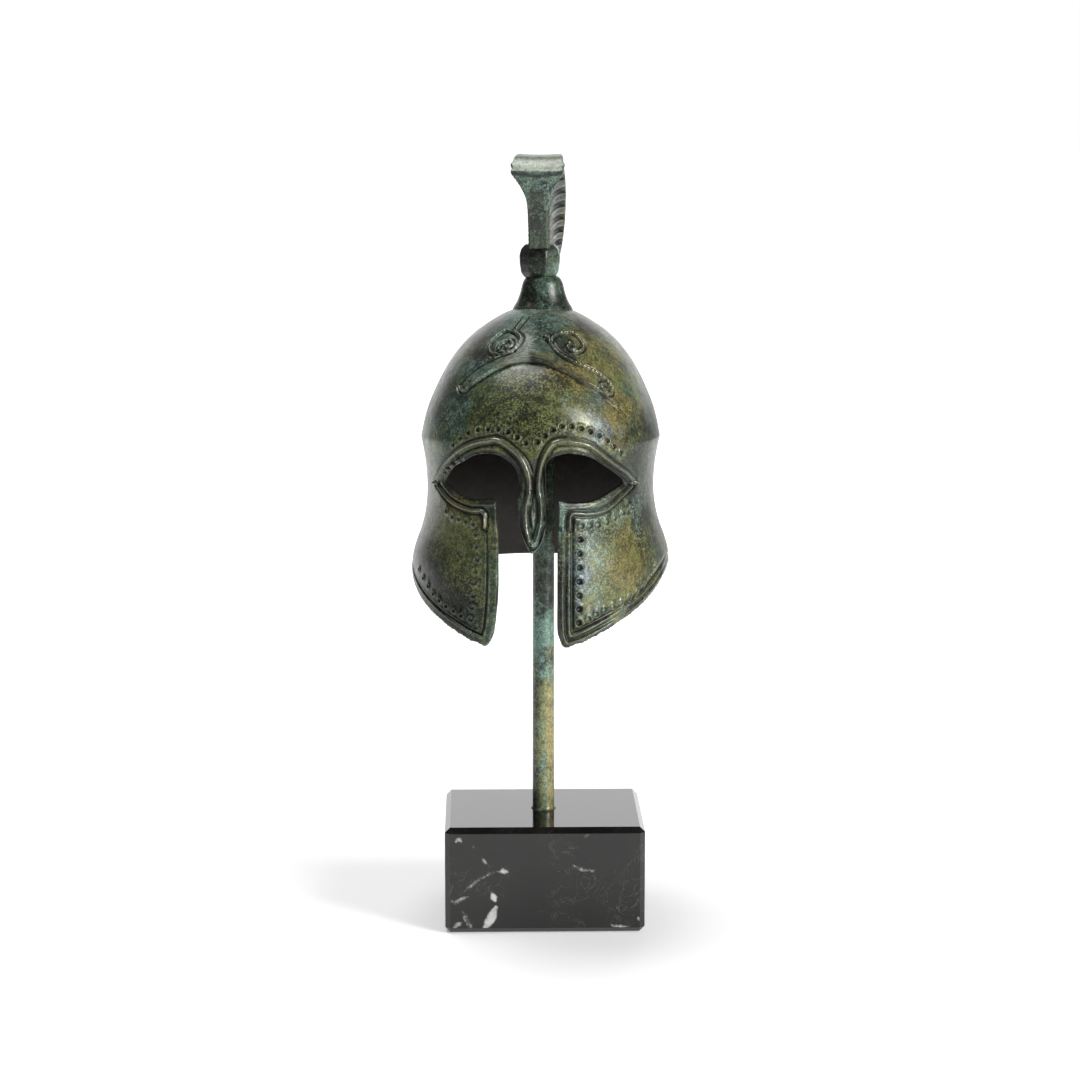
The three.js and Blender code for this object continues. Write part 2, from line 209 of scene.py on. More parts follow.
# %% [markdown]
# With the sections as a formula, every point of space can be asked whether it is inside
# the helmet, and can be slid onto its surface. That is what lets the ornament be drawn
# flat, as seen from the front, and still lie on the curved metal.

# %% The surface as a formula
FARTHEST_FRONT = -45.0
HALVINGS = 30


def shell_value(points):
    """Below 1 inside the outer surface, 1 on it, above 1 outside."""
    x, y, z = points.T
    half2, front2, back2, rise, square = section_at(z)
    reach = np.sqrt(np.maximum(np.where(y < 0, front2, back2), 1e-6))
    half2, front2, back2, rise, square = section_at(z + rise * np.clip(y / reach, -1, 1))
    reach2 = np.maximum(np.where(y < 0, front2, back2), 1e-6)
    half2 = np.maximum(half2, 1e-6)
    power = square / 2
    value = (x * x / half2) ** power + (y * y / reach2) ** power
    return value ** (1 / square)


def shell_gradient(points, step=0.02):
    columns = []
    for axis in range(3):
        shift = np.zeros(3)
        shift[axis] = step
        columns.append((shell_value(points + shift) - shell_value(points - shift)) / (2 * step))
    return np.column_stack(columns)


def shell_normals(points):
    gradient = shell_gradient(points, 0.15)
    return gradient / np.maximum(np.linalg.norm(gradient, axis=1, keepdims=True), 1e-9)


def onto_shell(points, rounds=3):
    points = points.copy()
    for _ in range(rounds):
        gradient = shell_gradient(points)
        size2 = np.maximum((gradient ** 2).sum(axis=1, keepdims=True), 1e-9)
        points -= (shell_value(points) - 1)[:, None] * gradient / size2
    return points


def front_point(side, height):
    """The point of the outer surface that shows at (side, height) from the front."""
    side = np.atleast_1d(np.asarray(side, dtype=float))
    height = np.atleast_1d(np.asarray(height, dtype=float))
    near, far = np.full(side.shape, FARTHEST_FRONT), np.zeros(side.shape)
    for _ in range(HALVINGS):
        middle = (near + far) / 2
        outside = shell_value(np.column_stack([side, middle, height])) > 1
        near = np.where(outside, middle, near)
        far = np.where(outside, far, middle)
    return np.column_stack([side, far, height])


def on_front(points, steps=8):
    line = smooth_line(points, steps)
    return front_point(line[:, 0], line[:, 1])


print("the forehead lies at", front_point(0, 135)[0].round(2), "mm")

# %% [markdown]
# The openings are the lines that give the helmet its face. Each is a smooth run that
# meets the next in a corner: one cheek edge, one eye, round the nose guard, the other eye
# and cheek. The lower edge is drawn from the side, from the cheek tips to the neck. The
# two sides differ by a few tenths, as they do on a thing cut by hand.

# %% Outlines of the openings
FACE_OPENING = [
    # side, height
    [(-10.2, 74), (-9.2, 78), (-8, 80.2), (-7.1, 84), (-6.6, 92), (-6.6, 102), (-7.2, 113.6)],
    [(-7.2, 113.6), (-9.4, 113.4), (-13.9, 113.1), (-17.9, 114.3), (-20.6, 116.1)],
    [(-20.6, 116.1), (-18.6, 119.2), (-16, 121.4), (-12.6, 123.4), (-9.4, 124.1), (-6.5, 123.7),
     (-4.2, 122.4), (-2.4, 120.3), (-1.9, 117.4), (-2.2, 114.2), (-2.3, 110.2), (-1.4, 106.2),
     (0.3, 102), (1.4, 100.3)],
    [(1.4, 100.3), (3.6, 103), (4.8, 108), (4.8, 113.6), (4.6, 117.5), (4.6, 120.6), (5.4, 122.9),
     (7.9, 124.1), (11, 124.2), (14.6, 123), (18.6, 120.1), (22.3, 116.3)],
    [(22.3, 116.3), (19, 114.4), (15, 112.9), (10.9, 112.7), (7.3, 113.5)],
    [(7.3, 113.5), (7.3, 99.4), (7.4, 84), (7.9, 80.2), (9.4, 76.4), (10.2, 74)],
]
LOWER_EDGE = [
    # back, height
    (-44, 75.3), (-39.5, 77.9), (-35.5, 80.8), (-30.8, 83.4), (-25.3, 85.8), (-18, 88.5),
    (-10.5, 90.7), (-3, 91.8), (5, 91.6), (15, 89.6), (26, 87.6), (45, 86.9),
]
EDGE_WANDER = 0.09


def edge_wobble(line, amount, seed):
    """Moves a line a little to and fro, as the edge of an untrimmed casting wanders."""
    random = np.random.default_rng(seed)
    along = np.arange(len(line))[:, None]
    wobble = np.zeros_like(line)
    for wave in (1.9, 3.7, 6.1):
        wobble += np.sin(along / wave + random.uniform(0, 6.3, (1, 2))) * amount / 2
    wobble[0] = wobble[-1] = 0
    return line + wobble


opening = np.vstack([edge_wobble(smooth_line(run), EDGE_WANDER, SEED + index)[1:]
                     for index, run in enumerate(FACE_OPENING)])
lower_edge = smooth_line(LOWER_EDGE)
print("opening drawn with", len(opening), "corners, lower edge with", len(lower_edge))

# %% [markdown]
# The blank is a UV sphere whose rings are moved onto the sections, as one would push a
# ball of clay against templates. A lofted surface would do too, but the sphere closes its
# own crown. Its floor is deleted, and Solidify gives it the wall.

# %% Helmet blank
SEGMENTS = 120
RINGS = 90
REACH_DOWN = 0.82    # the share of the way to the lower pole that becomes the wall


def make_blank():
    bpy.ops.object.select_all(action="DESELECT")
    bpy.ops.mesh.primitive_uv_sphere_add(segments=SEGMENTS, ring_count=RINGS, radius=1)
    blank = bpy.context.active_object
    blank.name = "helmet_casting"
    points = get_points(blank)
    fall = np.arccos(np.clip(points[:, 2], -1, 1))
    turn = np.arctan2(points[:, 1], points[:, 0])
    lowered = (1 - np.cos(fall * REACH_DOWN)) / (1 - math.cos(REACH_DOWN * math.pi))
    height = APEX - (APEX - LOWEST) * lowered
    half2, front2, back2, rise, square = section_at(height)
    side, along = np.cos(turn), np.sin(turn)
    power = 2 / square
    reach = np.sqrt(np.where(along < 0, front2, back2))
    x = np.sqrt(half2) * np.sign(side) * np.abs(side) ** power
    share = np.sign(along) * np.abs(along) ** power
    set_points(blank, np.column_stack([x, reach * share, height - rise * share]))
    return blank


def select_faces(piece, chosen):
    """Leaves edit mode on, with only the chosen faces selected."""
    select_only(piece)
    bpy.ops.object.mode_set(mode="EDIT")
    bpy.ops.mesh.select_mode(type="FACE")
    bpy.ops.mesh.select_all(action="DESELECT")
    bpy.ops.object.mode_set(mode="OBJECT")
    piece.data.polygons.foreach_set("select", chosen)
    bpy.ops.object.mode_set(mode="EDIT")


shell = make_blank()
select_faces(shell, [bool(face.center.z < LOWEST + 0.6) for face in shell.data.polygons])
bpy.ops.mesh.delete(type="FACE")
bpy.ops.object.mode_set(mode="OBJECT")
apply_modifier(shell, "SOLIDIFY", thickness=WALL, offset=-1, use_even_offset=True)
print("blank", triangles(shell), "triangles")

# %% [markdown]
# The face is open from the eyes down to the chin, and the lower edge rises from the cheek
# tips to the neck. Cutting the mesh by its own faces would leave steps, so each outline
# becomes a cutter: a circle with as many corners as the outline, moved onto it and
# extruded through the shell, for Boolean to take away. A voxel remesh then melts the sharp
# arrises into the small round edges that a casting has.

# %% Cut the face and the lower edge
VOXEL = 0.45


def prism(name, outline, axis, low, high):
    """An outline of (side or depth, height) as a solid between two places along an axis."""
    bpy.ops.object.select_all(action="DESELECT")
    bpy.ops.mesh.primitive_circle_add(vertices=len(outline), radius=1, fill_type="NGON")
    cutter = bpy.context.active_object
    cutter.name = name
    across, height = np.asarray(outline).T
    start = np.full(len(outline), float(low))
    corners = [across, start, height] if axis == "Y" else [start, across, height]
    set_points(cutter, np.column_stack(corners))
    bpy.ops.object.mode_set(mode="EDIT")
    bpy.ops.mesh.select_all(action="SELECT")
    reach = (0, high - low, 0) if axis == "Y" else (high - low, 0, 0)
    bpy.ops.mesh.extrude_region_move(TRANSFORM_OT_translate={"value": reach})
    bpy.ops.mesh.select_all(action="SELECT")
    bpy.ops.mesh.normals_make_consistent(inside=False)
    bpy.ops.object.mode_set(mode="OBJECT")
    return cutter


def cut(piece, cutter):
    apply_modifier(piece, "BOOLEAN", operation="DIFFERENCE", object=cutter, solver="EXACT")
    bpy.data.objects.remove(cutter)


cut(shell, prism("face_cutter", opening, "Y", -60, -6))
under = [(LOWER_EDGE[-1][0], 60), (LOWER_EDGE[0][0], 60)]
cut(shell, prism("edge_cutter", np.vstack([lower_edge, under]), "X", -60, 60))
apply_modifier(shell, "REMESH", mode="VOXEL", voxel_size=VOXEL, use_smooth_shade=True)
print("cast shell", triangles(shell), "triangles")

# %% [markdown]
# The ornament is cast with the shell and then chased: raised ridges round the eyes and
# down the nose, lower lids, and a brow arch with rope scrolls above it. It could be a bump
# in the material, but then neither light nor outline would follow it. So each line is a
# few points on the front of the helmet, laid on the surface, and the metal will rise or
# sink with its distance from the line.

# %% Lines of the ornament
EYE_RIDGES = [
    # side, height
    [(-23.3, 115.2), (-22.0, 117.4), (-19.2, 121.7), (-14.5, 125.6), (-8.5, 127.4), (-5.6, 126.9),
     (-1.7, 123.9), (0.2, 120.5), (0.8, 116.6), (-0.1, 111.4), (0.1, 107.2), (1.3, 102.9)],
    [(24.6, 115.6), (23.5, 117.2), (22.6, 118.5), (19, 122), (14.9, 125.7), (10.95, 127.05),
     (7.4, 127.3), (5.2, 125.8), (3.5, 121.8), (2.9, 116.7), (3.5, 112.4), (3.4, 107.7), (1.9, 102.9)],
]
LID_RIDGES = [
    [(-23.3, 115.2), (-22.2, 114.2), (-20.2, 112.5), (-17.9, 111.3), (-13.9, 110.4), (-11.2, 110.5),
     (-10.2, 110.0), (-9.95, 108.8), (-9.95, 106.8)],
    [(24.6, 115.6), (23.4, 114.4), (21.6, 112.8), (18.6, 110.5), (14.8, 109.8), (11.4, 110.2),
     (10.4, 109.8), (10.2, 108.8), (10.2, 106.8)],
]
NOSE_KEEL = [(1.0, 115.2), (0.95, 113.2), (1.3, 110.2), (1.7, 107.4)]
BROW_ARCH = [
    (-24.6, 127.4), (-20.6, 133.0), (-15.4, 138.2), (-9.9, 142.0), (-5.8, 144.1), (-2.8, 144.9),
    (0.4, 145.1), (3.8, 144.5), (8.7, 142.5), (12.8, 140.1), (17.4, 136.9), (21.8, 132.4), (25.6, 127),
]
DOME_KEEL = [(0.1, 153.2), (0.5, 148.8), (0.6, 145.6)]
SCROLLS = [
    # one side: cord from the crown, ring, spiral in the ring, tail with a hook
    [(-2.6, 154.0), (-3.7, 152.7), (-4.9, 151.0)],
    [(-4.1, 150.7), (-5.9, 151.2), (-8.0, 150.7), (-9.8, 149.1), (-10.5, 147.5), (-9.5, 146.3),
     (-7.4, 146.2), (-5.1, 146.9), (-3.4, 148.3), (-3.0, 149.7), (-4.1, 150.7)],
    [(-8.3, 147.4), (-7.3, 148.7), (-5.7, 149.2), (-4.8, 148.3), (-5.9, 147.6), (-6.5, 148.1)],
    [(-4.6, 146.8), (-7.2, 145.9), (-9.9, 144.9), (-12.8, 143.2), (-15.5, 141.2), (-17.3, 139.0),
     (-16.5, 137.9), (-15.1, 138.4), (-14.6, 139.4)],
    # the other side: ring, spiral, tail that curls in
    [(3.8, 149.1), (5.2, 150.4), (7.7, 151.0), (9.9, 150.1), (11.7, 148.2), (11.5, 147.1),
     (10.1, 146.9), (8.7, 147.3), (8.2, 148.0), (9.0, 148.5)],
    [(3.2, 149.8), (4.2, 148.6), (5.7, 147.0), (8.2, 145.4), (10.8, 144.2), (13.9, 142.8),
     (16.2, 141.3), (18.1, 139.4), (19.1, 137.7), (18.2, 137.0), (16.8, 137.8), (16.4, 139.2),
     (17.3, 139.4)],
]
print(len(SCROLLS), "lines of rope scroll")

# %% [markdown]
# Every line gets a cross section, as a moulding plane has: a few beads, each with its
# offset from the line, its half width, and its height, which is below zero for a groove.
# One function then serves the ropes, the ridges and the ruled borders.

# %% Distance from a line, and beads beside it
def path_distance(points, path, reach):
    """Distance of each point to a path, and how far along the path its nearest place is."""
    distance = np.full(len(points), np.inf)
    place = np.zeros(len(points))
    low, high = path.min(axis=0) - reach, path.max(axis=0) + reach
    near = np.flatnonzero(np.all((points > low) & (points < high), axis=1))
    if not len(near):
        return distance, place
    local = points[near]
    best = np.full(len(near), np.inf)
    best_place = np.zeros(len(near))
    gone = 0.0
    for a, b in zip(path[:-1], path[1:]):
        run = b - a
        length = float(np.linalg.norm(run))
        if length < 1e-9:
            continue
        t = np.clip((local - a) @ run / length ** 2, 0, 1)
        gap = np.linalg.norm(local - a - t[:, None] * run, axis=1)
        closer = gap < best
        best[closer] = gap[closer]
        best_place[closer] = gone + t[closer] * length
        gone += length
    distance[near] = best
    place[near] = best_place
    return distance, place


def nearest_of(points, paths, reach=6.0):
    distance = np.full(len(points), np.inf)
    for path in paths:
        distance = np.minimum(distance, path_distance(points, path, reach)[0])
    return distance


def ridge(distance, half_width):
    return np.clip(1 - (distance / half_width) ** 2, 0, 1) ** 1.5


def beads_beside(distance, beads):
    """Height at a distance from a line; beads are offset, half width, height."""
    return sum(height * ridge(np.abs(distance - offset), half) for offset, half, height in beads)


def on_face(points):
    """1 on the front half of the helmet, 0 behind it."""
    return smoothstep(-4, -9, points[:, 1])


print("halfway down a bead:", beads_beside(np.array([0.5]), [(0.0, 1.0, 1.0)]).round(3))

# %% [markdown]
# Over the forehead the dome swells forward and ends in a ledge, the brow arch, which throws a thin shadow;
# in the finish its edge is painted bright as a highlight, with a painted shadow line under it. Above it a
# low keel runs up the middle of the dome. Both are broad forms that the whole surface follows, so they are
# heights over distance, and no extra mesh.

# %% Brow ledge and keel
LEDGE_RISE = 1.15
LEDGE_FADE = 3.2
KEEL_RISE = 0.55
KEEL_HALF_WIDTH = 5.5
UNDER_LEDGE = [(0.6, 0.6, -0.12)]
arch_path = on_front(BROW_ARCH)
arch_flat = smooth_line(BROW_ARCH)
keel_flat = smooth_line(DOME_KEEL)


def from_arch(points):
    """Distance above (+) or below (-) the brow arch, and how much of the ledge is left."""
    x, _, z = points.T
    gap, _ = path_distance(points, arch_path, 30)
    above = z - np.interp(x, arch_flat[:, 0], arch_flat[:, 1])
    return np.where(above > 0, gap, -gap), smoothstep(-17, -12, x) * smoothstep(22, 17, x)


def brow_relief(points):
    x, _, z = points.T
    signed, ends = from_arch(points)
    ledge = LEDGE_RISE * smoothstep(-0.3, 0.06, signed) * np.exp(-np.maximum(signed, 0) / LEDGE_FADE)
    height = np.where(np.isfinite(signed), (ledge + beads_beside(-signed, UNDER_LEDGE)) * ends, 0)
    off = np.abs(x - np.interp(-z, -keel_flat[:, 1], keel_flat[:, 0]))
    keel = KEEL_RISE * np.clip(1 - off / KEEL_HALF_WIDTH, 0, 1) ** 1.1 * smoothstep(154.5, 151, z)
    height += keel * smoothstep(-0.3, 0.1, signed) * (z > 141)
    return height * on_face(points)


print("ledge", LEDGE_RISE, "mm and keel", KEEL_RISE, "mm high")

# %% [markdown]
# The scrolls are ropes of twisted wire laid in the wax, with a groove on either side. The
# twist is a wave along the line, one turn every 1.1 mm.

# %% Scrolls
ROPE = [(0.0, 0.42, 0.55)]
ROPE_GROOVES = [(0.72, 0.4, -0.4)]
ROPE_PITCH = 1.1


def scroll_relief(points):
    height = np.zeros(len(points))
    for line in SCROLLS:
        distance, place = path_distance(points, on_front(line), 2.5)
        twist = 0.85 + 0.15 * np.cos(place * 2 * math.pi / ROPE_PITCH)
        height += beads_beside(distance, ROPE) * twist + beads_beside(distance, ROPE_GROOVES)
    return height


print("the rope has a strand every", ROPE_PITCH, "mm")

# %% [markdown]
# Round each eye the real casting has a smooth ridge that runs on down the nose guard, a
# thinner one along the lower lid, and a bevel down to the opening. On one eyelid a few
# lumps of metal were never filed off.

# %% Eyes and nose
EYE_BEADS = [(0.0, 0.72, 0.7), (1.05, 0.45, -0.34)]
LID_BEADS = [(0.0, 0.5, 0.48), (0.85, 0.42, -0.36)]
NOSE_BEADS = [(0.0, 0.42, 0.4)]
LID_RIM_BEADS = [(1.35, 0.38, 0.28)]
LUMPS = [
    # side, height, radius, rise
    (-19.9, 119.3, 0.8, 0.8), (-18.6, 120.3, 1.0, 0.9), (-17.1, 121.6, 0.9, 0.8),
    (-15.6, 122.4, 0.8, 0.6), (-20.8, 118.1, 0.6, 0.5),
]
eye_rims = [on_front(FACE_OPENING[index]) for index in (1, 2, 3, 4)]


def eye_relief(points):
    height = np.zeros(len(points))
    for lines, beads in ((EYE_RIDGES, EYE_BEADS), (LID_RIDGES, LID_BEADS), ([NOSE_KEEL], NOSE_BEADS)):
        for line in lines:
            height += beads_beside(path_distance(points, on_front(line), 3)[0], beads)
    for side, up, radius, rise in LUMPS:
        gap = np.linalg.norm(points - front_point(side, up)[0], axis=1)
        height += rise * ridge(gap, radius)
    rim = nearest_of(points, eye_rims)
    upper = smoothstep(113.5, 116.5, points[:, 2])
    bevel = -0.6 * np.clip(1 - rim / 1.5, 0, 1) ** 1.2 * upper
    lower_bevel = -0.35 * np.clip(1 - rim / 0.9, 0, 1) + beads_beside(rim, LID_RIM_BEADS)
    return height + (bevel + lower_bevel * (1 - upper)) * on_face(points)


print(len(LUMPS), "lumps of unfiled metal on the eyelid")

# %% [markdown]
# The cheek guards have ruled borders that keep an even distance from their edges, so they
# are drawn from the edges and not line by line. The cheek guard at +X has two ridges and a
# deep channel, the other a flat band with a groove. The neck guard has one shallow line.

# %% Borders of the cheek guards and the neck guard
WIDE_BORDER = [(1.35, 0.4, 0.38), (2.05, 0.45, -0.3), (2.85, 0.42, 0.38), (3.75, 0.65, -0.6)]
BAND_BORDER = [(2.3, 0.35, 0.2), (2.85, 0.42, -0.42), (3.35, 0.35, 0.16)]
NECK_BORDER = [(2.2, 0.5, -0.22)]


def lower_rim(side):
    """The lower edge as it runs round one side of the helmet, clear of the face opening."""
    rim = []
    for y, z in lower_edge[lower_edge[:, 0] > -41]:
        half2, front2, back2, _, square = (float(v[0]) for v in section_at(np.array([z])))
        share = min(abs(y) / math.sqrt(front2 if y < 0 else back2), 1)
        rim.append((side * math.sqrt(half2) * (1 - share ** square) ** (1 / square), y, z))
    rim = np.array(rim)
    return rim[np.abs(rim[:, 0]) > 8.3]


lower_rims = {side: lower_rim(side) for side in (-1, 1)}
cheek_rims = {
    -1: [on_front(FACE_OPENING[0][1:]), lower_rims[-1]],
    1: [on_front(FACE_OPENING[5][:-1]), lower_rims[1]],
}


def border_relief(points):
    x, y, z = points.T
    height = np.zeros(len(points))
    for side in (-1, 1):
        mine = (x * side > 2) & (y < -2)
        rim = np.where(mine, nearest_of(points, cheek_rims[side]), np.inf)
        if side == 1:
            border = beads_beside(rim, WIDE_BORDER) - 0.3 * np.clip(1 - rim, 0, 1)
        else:
            band = 0.15 * smoothstep(0.3, 0.8, rim) * smoothstep(2.6, 2.2, rim)
            border = band + beads_beside(rim, BAND_BORDER) - 0.25 * np.clip(1 - rim / 0.8, 0, 1)
        worn = (1 - 0.45 * smoothstep(92, 100, z)) * (1 - 0.5 * smoothstep(15, 22, np.abs(x)))
        below_lid = smoothstep(109.6, 108.2, z) * smoothstep(-5, -13, y)
        height += np.where(np.isfinite(rim), border, 0) * below_lid * worn
    neck = nearest_of(points, list(lower_rims.values()))
    return height + beads_beside(neck, NECK_BORDER) * smoothstep(-11, -3, y)


print("border beads:", len(WIDE_BORDER), "wide,", len(BAND_BORDER), "band,", len(NECK_BORDER), "neck")

# %% [markdown]
# Rows of dots follow the brows and the borders. On the real piece they were punched into
# the wax, which threw up a small lip round each. They are spaced evenly along a line, so a
# row is a line, a number and a radius.

# %% Punched dots
DOT_ROWS = [
    # line, number of dots, radius
    ([(-18, 125.6), (-13.9, 128.9), (-9, 129.9), (-4.5, 129.4), (-0.2, 126.9)], 9, 0.66),
    ([(2.5, 127.2), (6.8, 130.4), (11.6, 130.4), (17.6, 127.6), (21.6, 123.5)], 11, 0.76),
    ([(-19.9, 109.3), (-18.3, 108.3), (-16.3, 108), (-12.8, 107.4)], 5, 0.65),
    ([(-12.2, 104.9), (-12.0, 102.1), (-11.8, 98.6), (-12.4, 95), (-12.7, 89.5), (-13.3, 84.7)], 8, 0.65),
    ([(-15.8, 85.2), (-21.6, 87.9), (-25.9, 91.7), (-27.6, 93.6)], 8, 0.5),
    ([(12.9, 107.1), (17.3, 107.1), (20.8, 108.4), (23.8, 109.8)], 7, 0.75),
    ([(12.6, 103.9), (12.6, 96.8), (12.6, 89.9), (12.5, 84.2)], 7, 0.85),
    ([(14.7, 85), (18.2, 86.7), (23.1, 88.4), (27.5, 91.6), (29.2, 94.8)], 10, 0.65),
]
CRUSTED_ROWS = (2, 3, 5, 7)
DOT_LIP = [(0.14, 0.3, 0.26)]
DOT_DEPTH = 0.75    # as a share of the radius


def along_line(points, count):
    line = smooth_line(points, 20)
    steps = np.r_[0, np.cumsum(np.linalg.norm(np.diff(line, axis=0), axis=1))]
    places = np.linspace(0, steps[-1], count)
    return np.column_stack([np.interp(places, steps, line[:, axis]) for axis in range(2)])


def dots_of(rows):
    """Middle and radius of each dot of some rows."""
    return [(front_point(side, up)[0], radius) for line, count, radius in rows
            for side, up in along_line(line, count)]


dots = dots_of(DOT_ROWS)
crusted_dots = dots_of([DOT_ROWS[row] for row in CRUSTED_ROWS])


def dot_relief(points):
    height = np.zeros(len(points))
    for centre, radius in dots:
        near = np.flatnonzero(np.abs(points - centre).max(axis=1) < 2 * radius + 0.5)
        gap = np.linalg.norm(points[near] - centre, axis=1)
        height[near] += beads_beside(gap - radius, DOT_LIP)
        height[near] -= DOT_DEPTH * radius * np.clip(1 - (gap / radius) ** 2, 0, 1)
    return height


def chased_relief(points):
    return scroll_relief(points) + eye_relief(points) + border_relief(points) + dot_relief(points)


print(len(dots), "punched dots,", len(crusted_dots), "of them still crusted")

# %% [markdown]
# The remesh leaves small steps, half a voxel high. Smoothing alone would shrink the piece,
# so the rims are relaxed with the Smooth operator and the outer skin is moved back onto
# the true surface. The wall inside is seen only in the dark, and Decimate thins it.

# %% Settle the skin
INSIDE_KEPT = 0.56


def facing_out(piece, points):
    """1 where the mesh faces as the outer surface does, -1 where it faces inward."""
    return (get_normals(piece) * shell_normals(points)).sum(axis=1)


def outer_share(piece):
    """1 on the outer skin, falling to 0 where the surface turns in over a rim."""
    points = get_points(piece)
    near = smoothstep(0.05, 0.015, np.abs(shell_value(points) - 1))
    return smoothstep(0.5, 0.9, facing_out(piece, points)) * near


def settle(piece):
    share = outer_share(piece)[:, None]
    points = get_points(piece)
    set_points(piece, points + (onto_shell(points) - points) * share)


def relax_rims(piece, repeat):
    points = get_points(piece)
    rim = (np.abs(facing_out(piece, points)) < 0.9) & (shell_value(points) > 0.9)
    select_only(piece)
    bpy.ops.object.mode_set(mode="EDIT")
    bpy.ops.mesh.select_mode(type="VERT")
    bpy.ops.mesh.select_all(action="DESELECT")
    bpy.ops.object.mode_set(mode="OBJECT")
    piece.data.vertices.foreach_set("select", rim)
    bpy.ops.object.mode_set(mode="EDIT")
    bpy.ops.mesh.vertices_smooth(factor=0.5, repeat=repeat)
    bpy.ops.object.mode_set(mode="OBJECT")


def thin_out(piece, chosen, target):
    """Decimates only the chosen vertices, until the piece has the target number of triangles."""
    group = piece.vertex_groups.new(name="thin")
    group.add(np.flatnonzero(chosen).tolist(), 1.0, "REPLACE")
    apply_modifier(piece, "DECIMATE", ratio=target / triangles(piece), vertex_group="thin",
                   vertex_group_factor=1.0)
    piece.vertex_groups.remove(piece.vertex_groups["thin"])


relax_rims(shell, 6)
settle(shell)
before = triangles(shell)
thin_out(shell, facing_out(shell, get_points(shell)) < -0.6, before * INSIDE_KEPT)
print("wall inside thinned from", before, "to", triangles(shell), "triangles")

# %% [markdown]
# A rope half a millimetre wide needs faces smaller than that, but only where it lies. So
# the faces near the ornament are selected by place and subdivided, the relief is raised
# along the surface normals, and Decimate then takes faces out of the plain skin, which
# doesn't need them.

# %% Refine near the ornament and raise the relief
SHELL_TRIANGLES = 190000


def near_ornament(points):
    x, y, _ = points.T
    lines = [on_front(line) for line in EYE_RIDGES + LID_RIDGES + SCROLLS + [NOSE_KEEL]]
    found = nearest_of(points, lines, 4) < 1.5
    found |= path_distance(points, arch_path, 2)[0] < 0.9
    for side in (-1, 1):
        found |= (nearest_of(points, cheek_rims[side]) < 4.4) & (x * side > 2) & (y < -4)
    for centre, radius in dots:
        found |= np.linalg.norm(points - centre, axis=1) < radius + 0.4
    return found


def refine(piece):
    centres = np.empty(len(piece.data.polygons) * 3)
    normals = np.empty(len(centres))
    piece.data.polygons.foreach_get("center", centres)
    piece.data.polygons.foreach_get("normal", normals)
    centres = centres.reshape(-1, 3)
    outward = (normals.reshape(-1, 3) * shell_normals(centres)).sum(axis=1) > 0.3
    chosen = outward & (np.abs(shell_value(centres) - 1) < 0.03) & near_ornament(centres)
    select_faces(piece, chosen)
    bpy.ops.mesh.subdivide(number_cuts=1)
    bpy.ops.object.mode_set(mode="OBJECT")
    return int(chosen.sum())


print("refined", refine(shell), "faces:", triangles(shell), "triangles")
settle(shell)
points = get_points(shell)
share = outer_share(shell)
raised = brow_relief(points) + chased_relief(points)
set_points(shell, points + shell_normals(points) * (raised * share)[:, None])
print("relief from", round(raised.min(), 2), "to", round(raised.max(), 2), "mm")

points = get_points(shell)
plain = (outer_share(shell) > 0.9) & ~near_ornament(onto_shell(points))
plain &= nearest_of(points, eye_rims, 5) >= 2.6
thin_out(shell, plain, SHELL_TRIANGLES)
print("helmet casting", triangles(shell), "triangles")

# %% [markdown]
# The finish has to know where the metal was chased, where the brow arch gets its painted highlight and
# painted shadow line, where it lies inside, and which dots still hold crust. Textures painted by hand could
# say so, but a number kept on every point is simpler, and the material reads it as an attribute.

# %% Measures for the finish
# a painted highlight along the edge of the brow arch, and a painted shadow line just under it
ARCH_PAINTED_LIGHT = [(0.2, 0.4, 0.55), (-0.45, 0.45, -0.26)]


def keep_measure(piece, name, values):
    layer = piece.data.attributes.get(name) or piece.data.attributes.new(name, "FLOAT", "POINT")
    layer.data.foreach_set("value", np.ascontiguousarray(values, dtype=np.float32))


def keep_shell_measures(piece):
    points = get_points(piece)
    inside = smoothstep(0.2, -0.4, facing_out(piece, points))
    inside *= smoothstep(0.995, 0.97, shell_value(points))
    keep_measure(piece, "inside", inside)
    skin = onto_shell(points)
    signed, ends = from_arch(skin)
    # the edge of the brow arch gets its painted highlight and painted shadow line, kept with the chasing
    worn = beads_beside(signed, ARCH_PAINTED_LIGHT) * np.where(skin[:, 1] < -6, ends, 0)
    keep_measure(piece, "chased_and_painted_light", np.where(inside > 0.5, 0, chased_relief(skin) + worn))
    crusted = np.zeros(len(skin))
    for centre, radius in crusted_dots:
        gap = np.linalg.norm(skin - centre, axis=1)
        crusted = np.maximum(crusted, smoothstep(radius * 0.9, radius * 0.45, gap))
    keep_measure(piece, "crusted", crusted)
    print("inside", round(inside.mean() * 100), "percent of the points")


keep_shell_measures(shell)
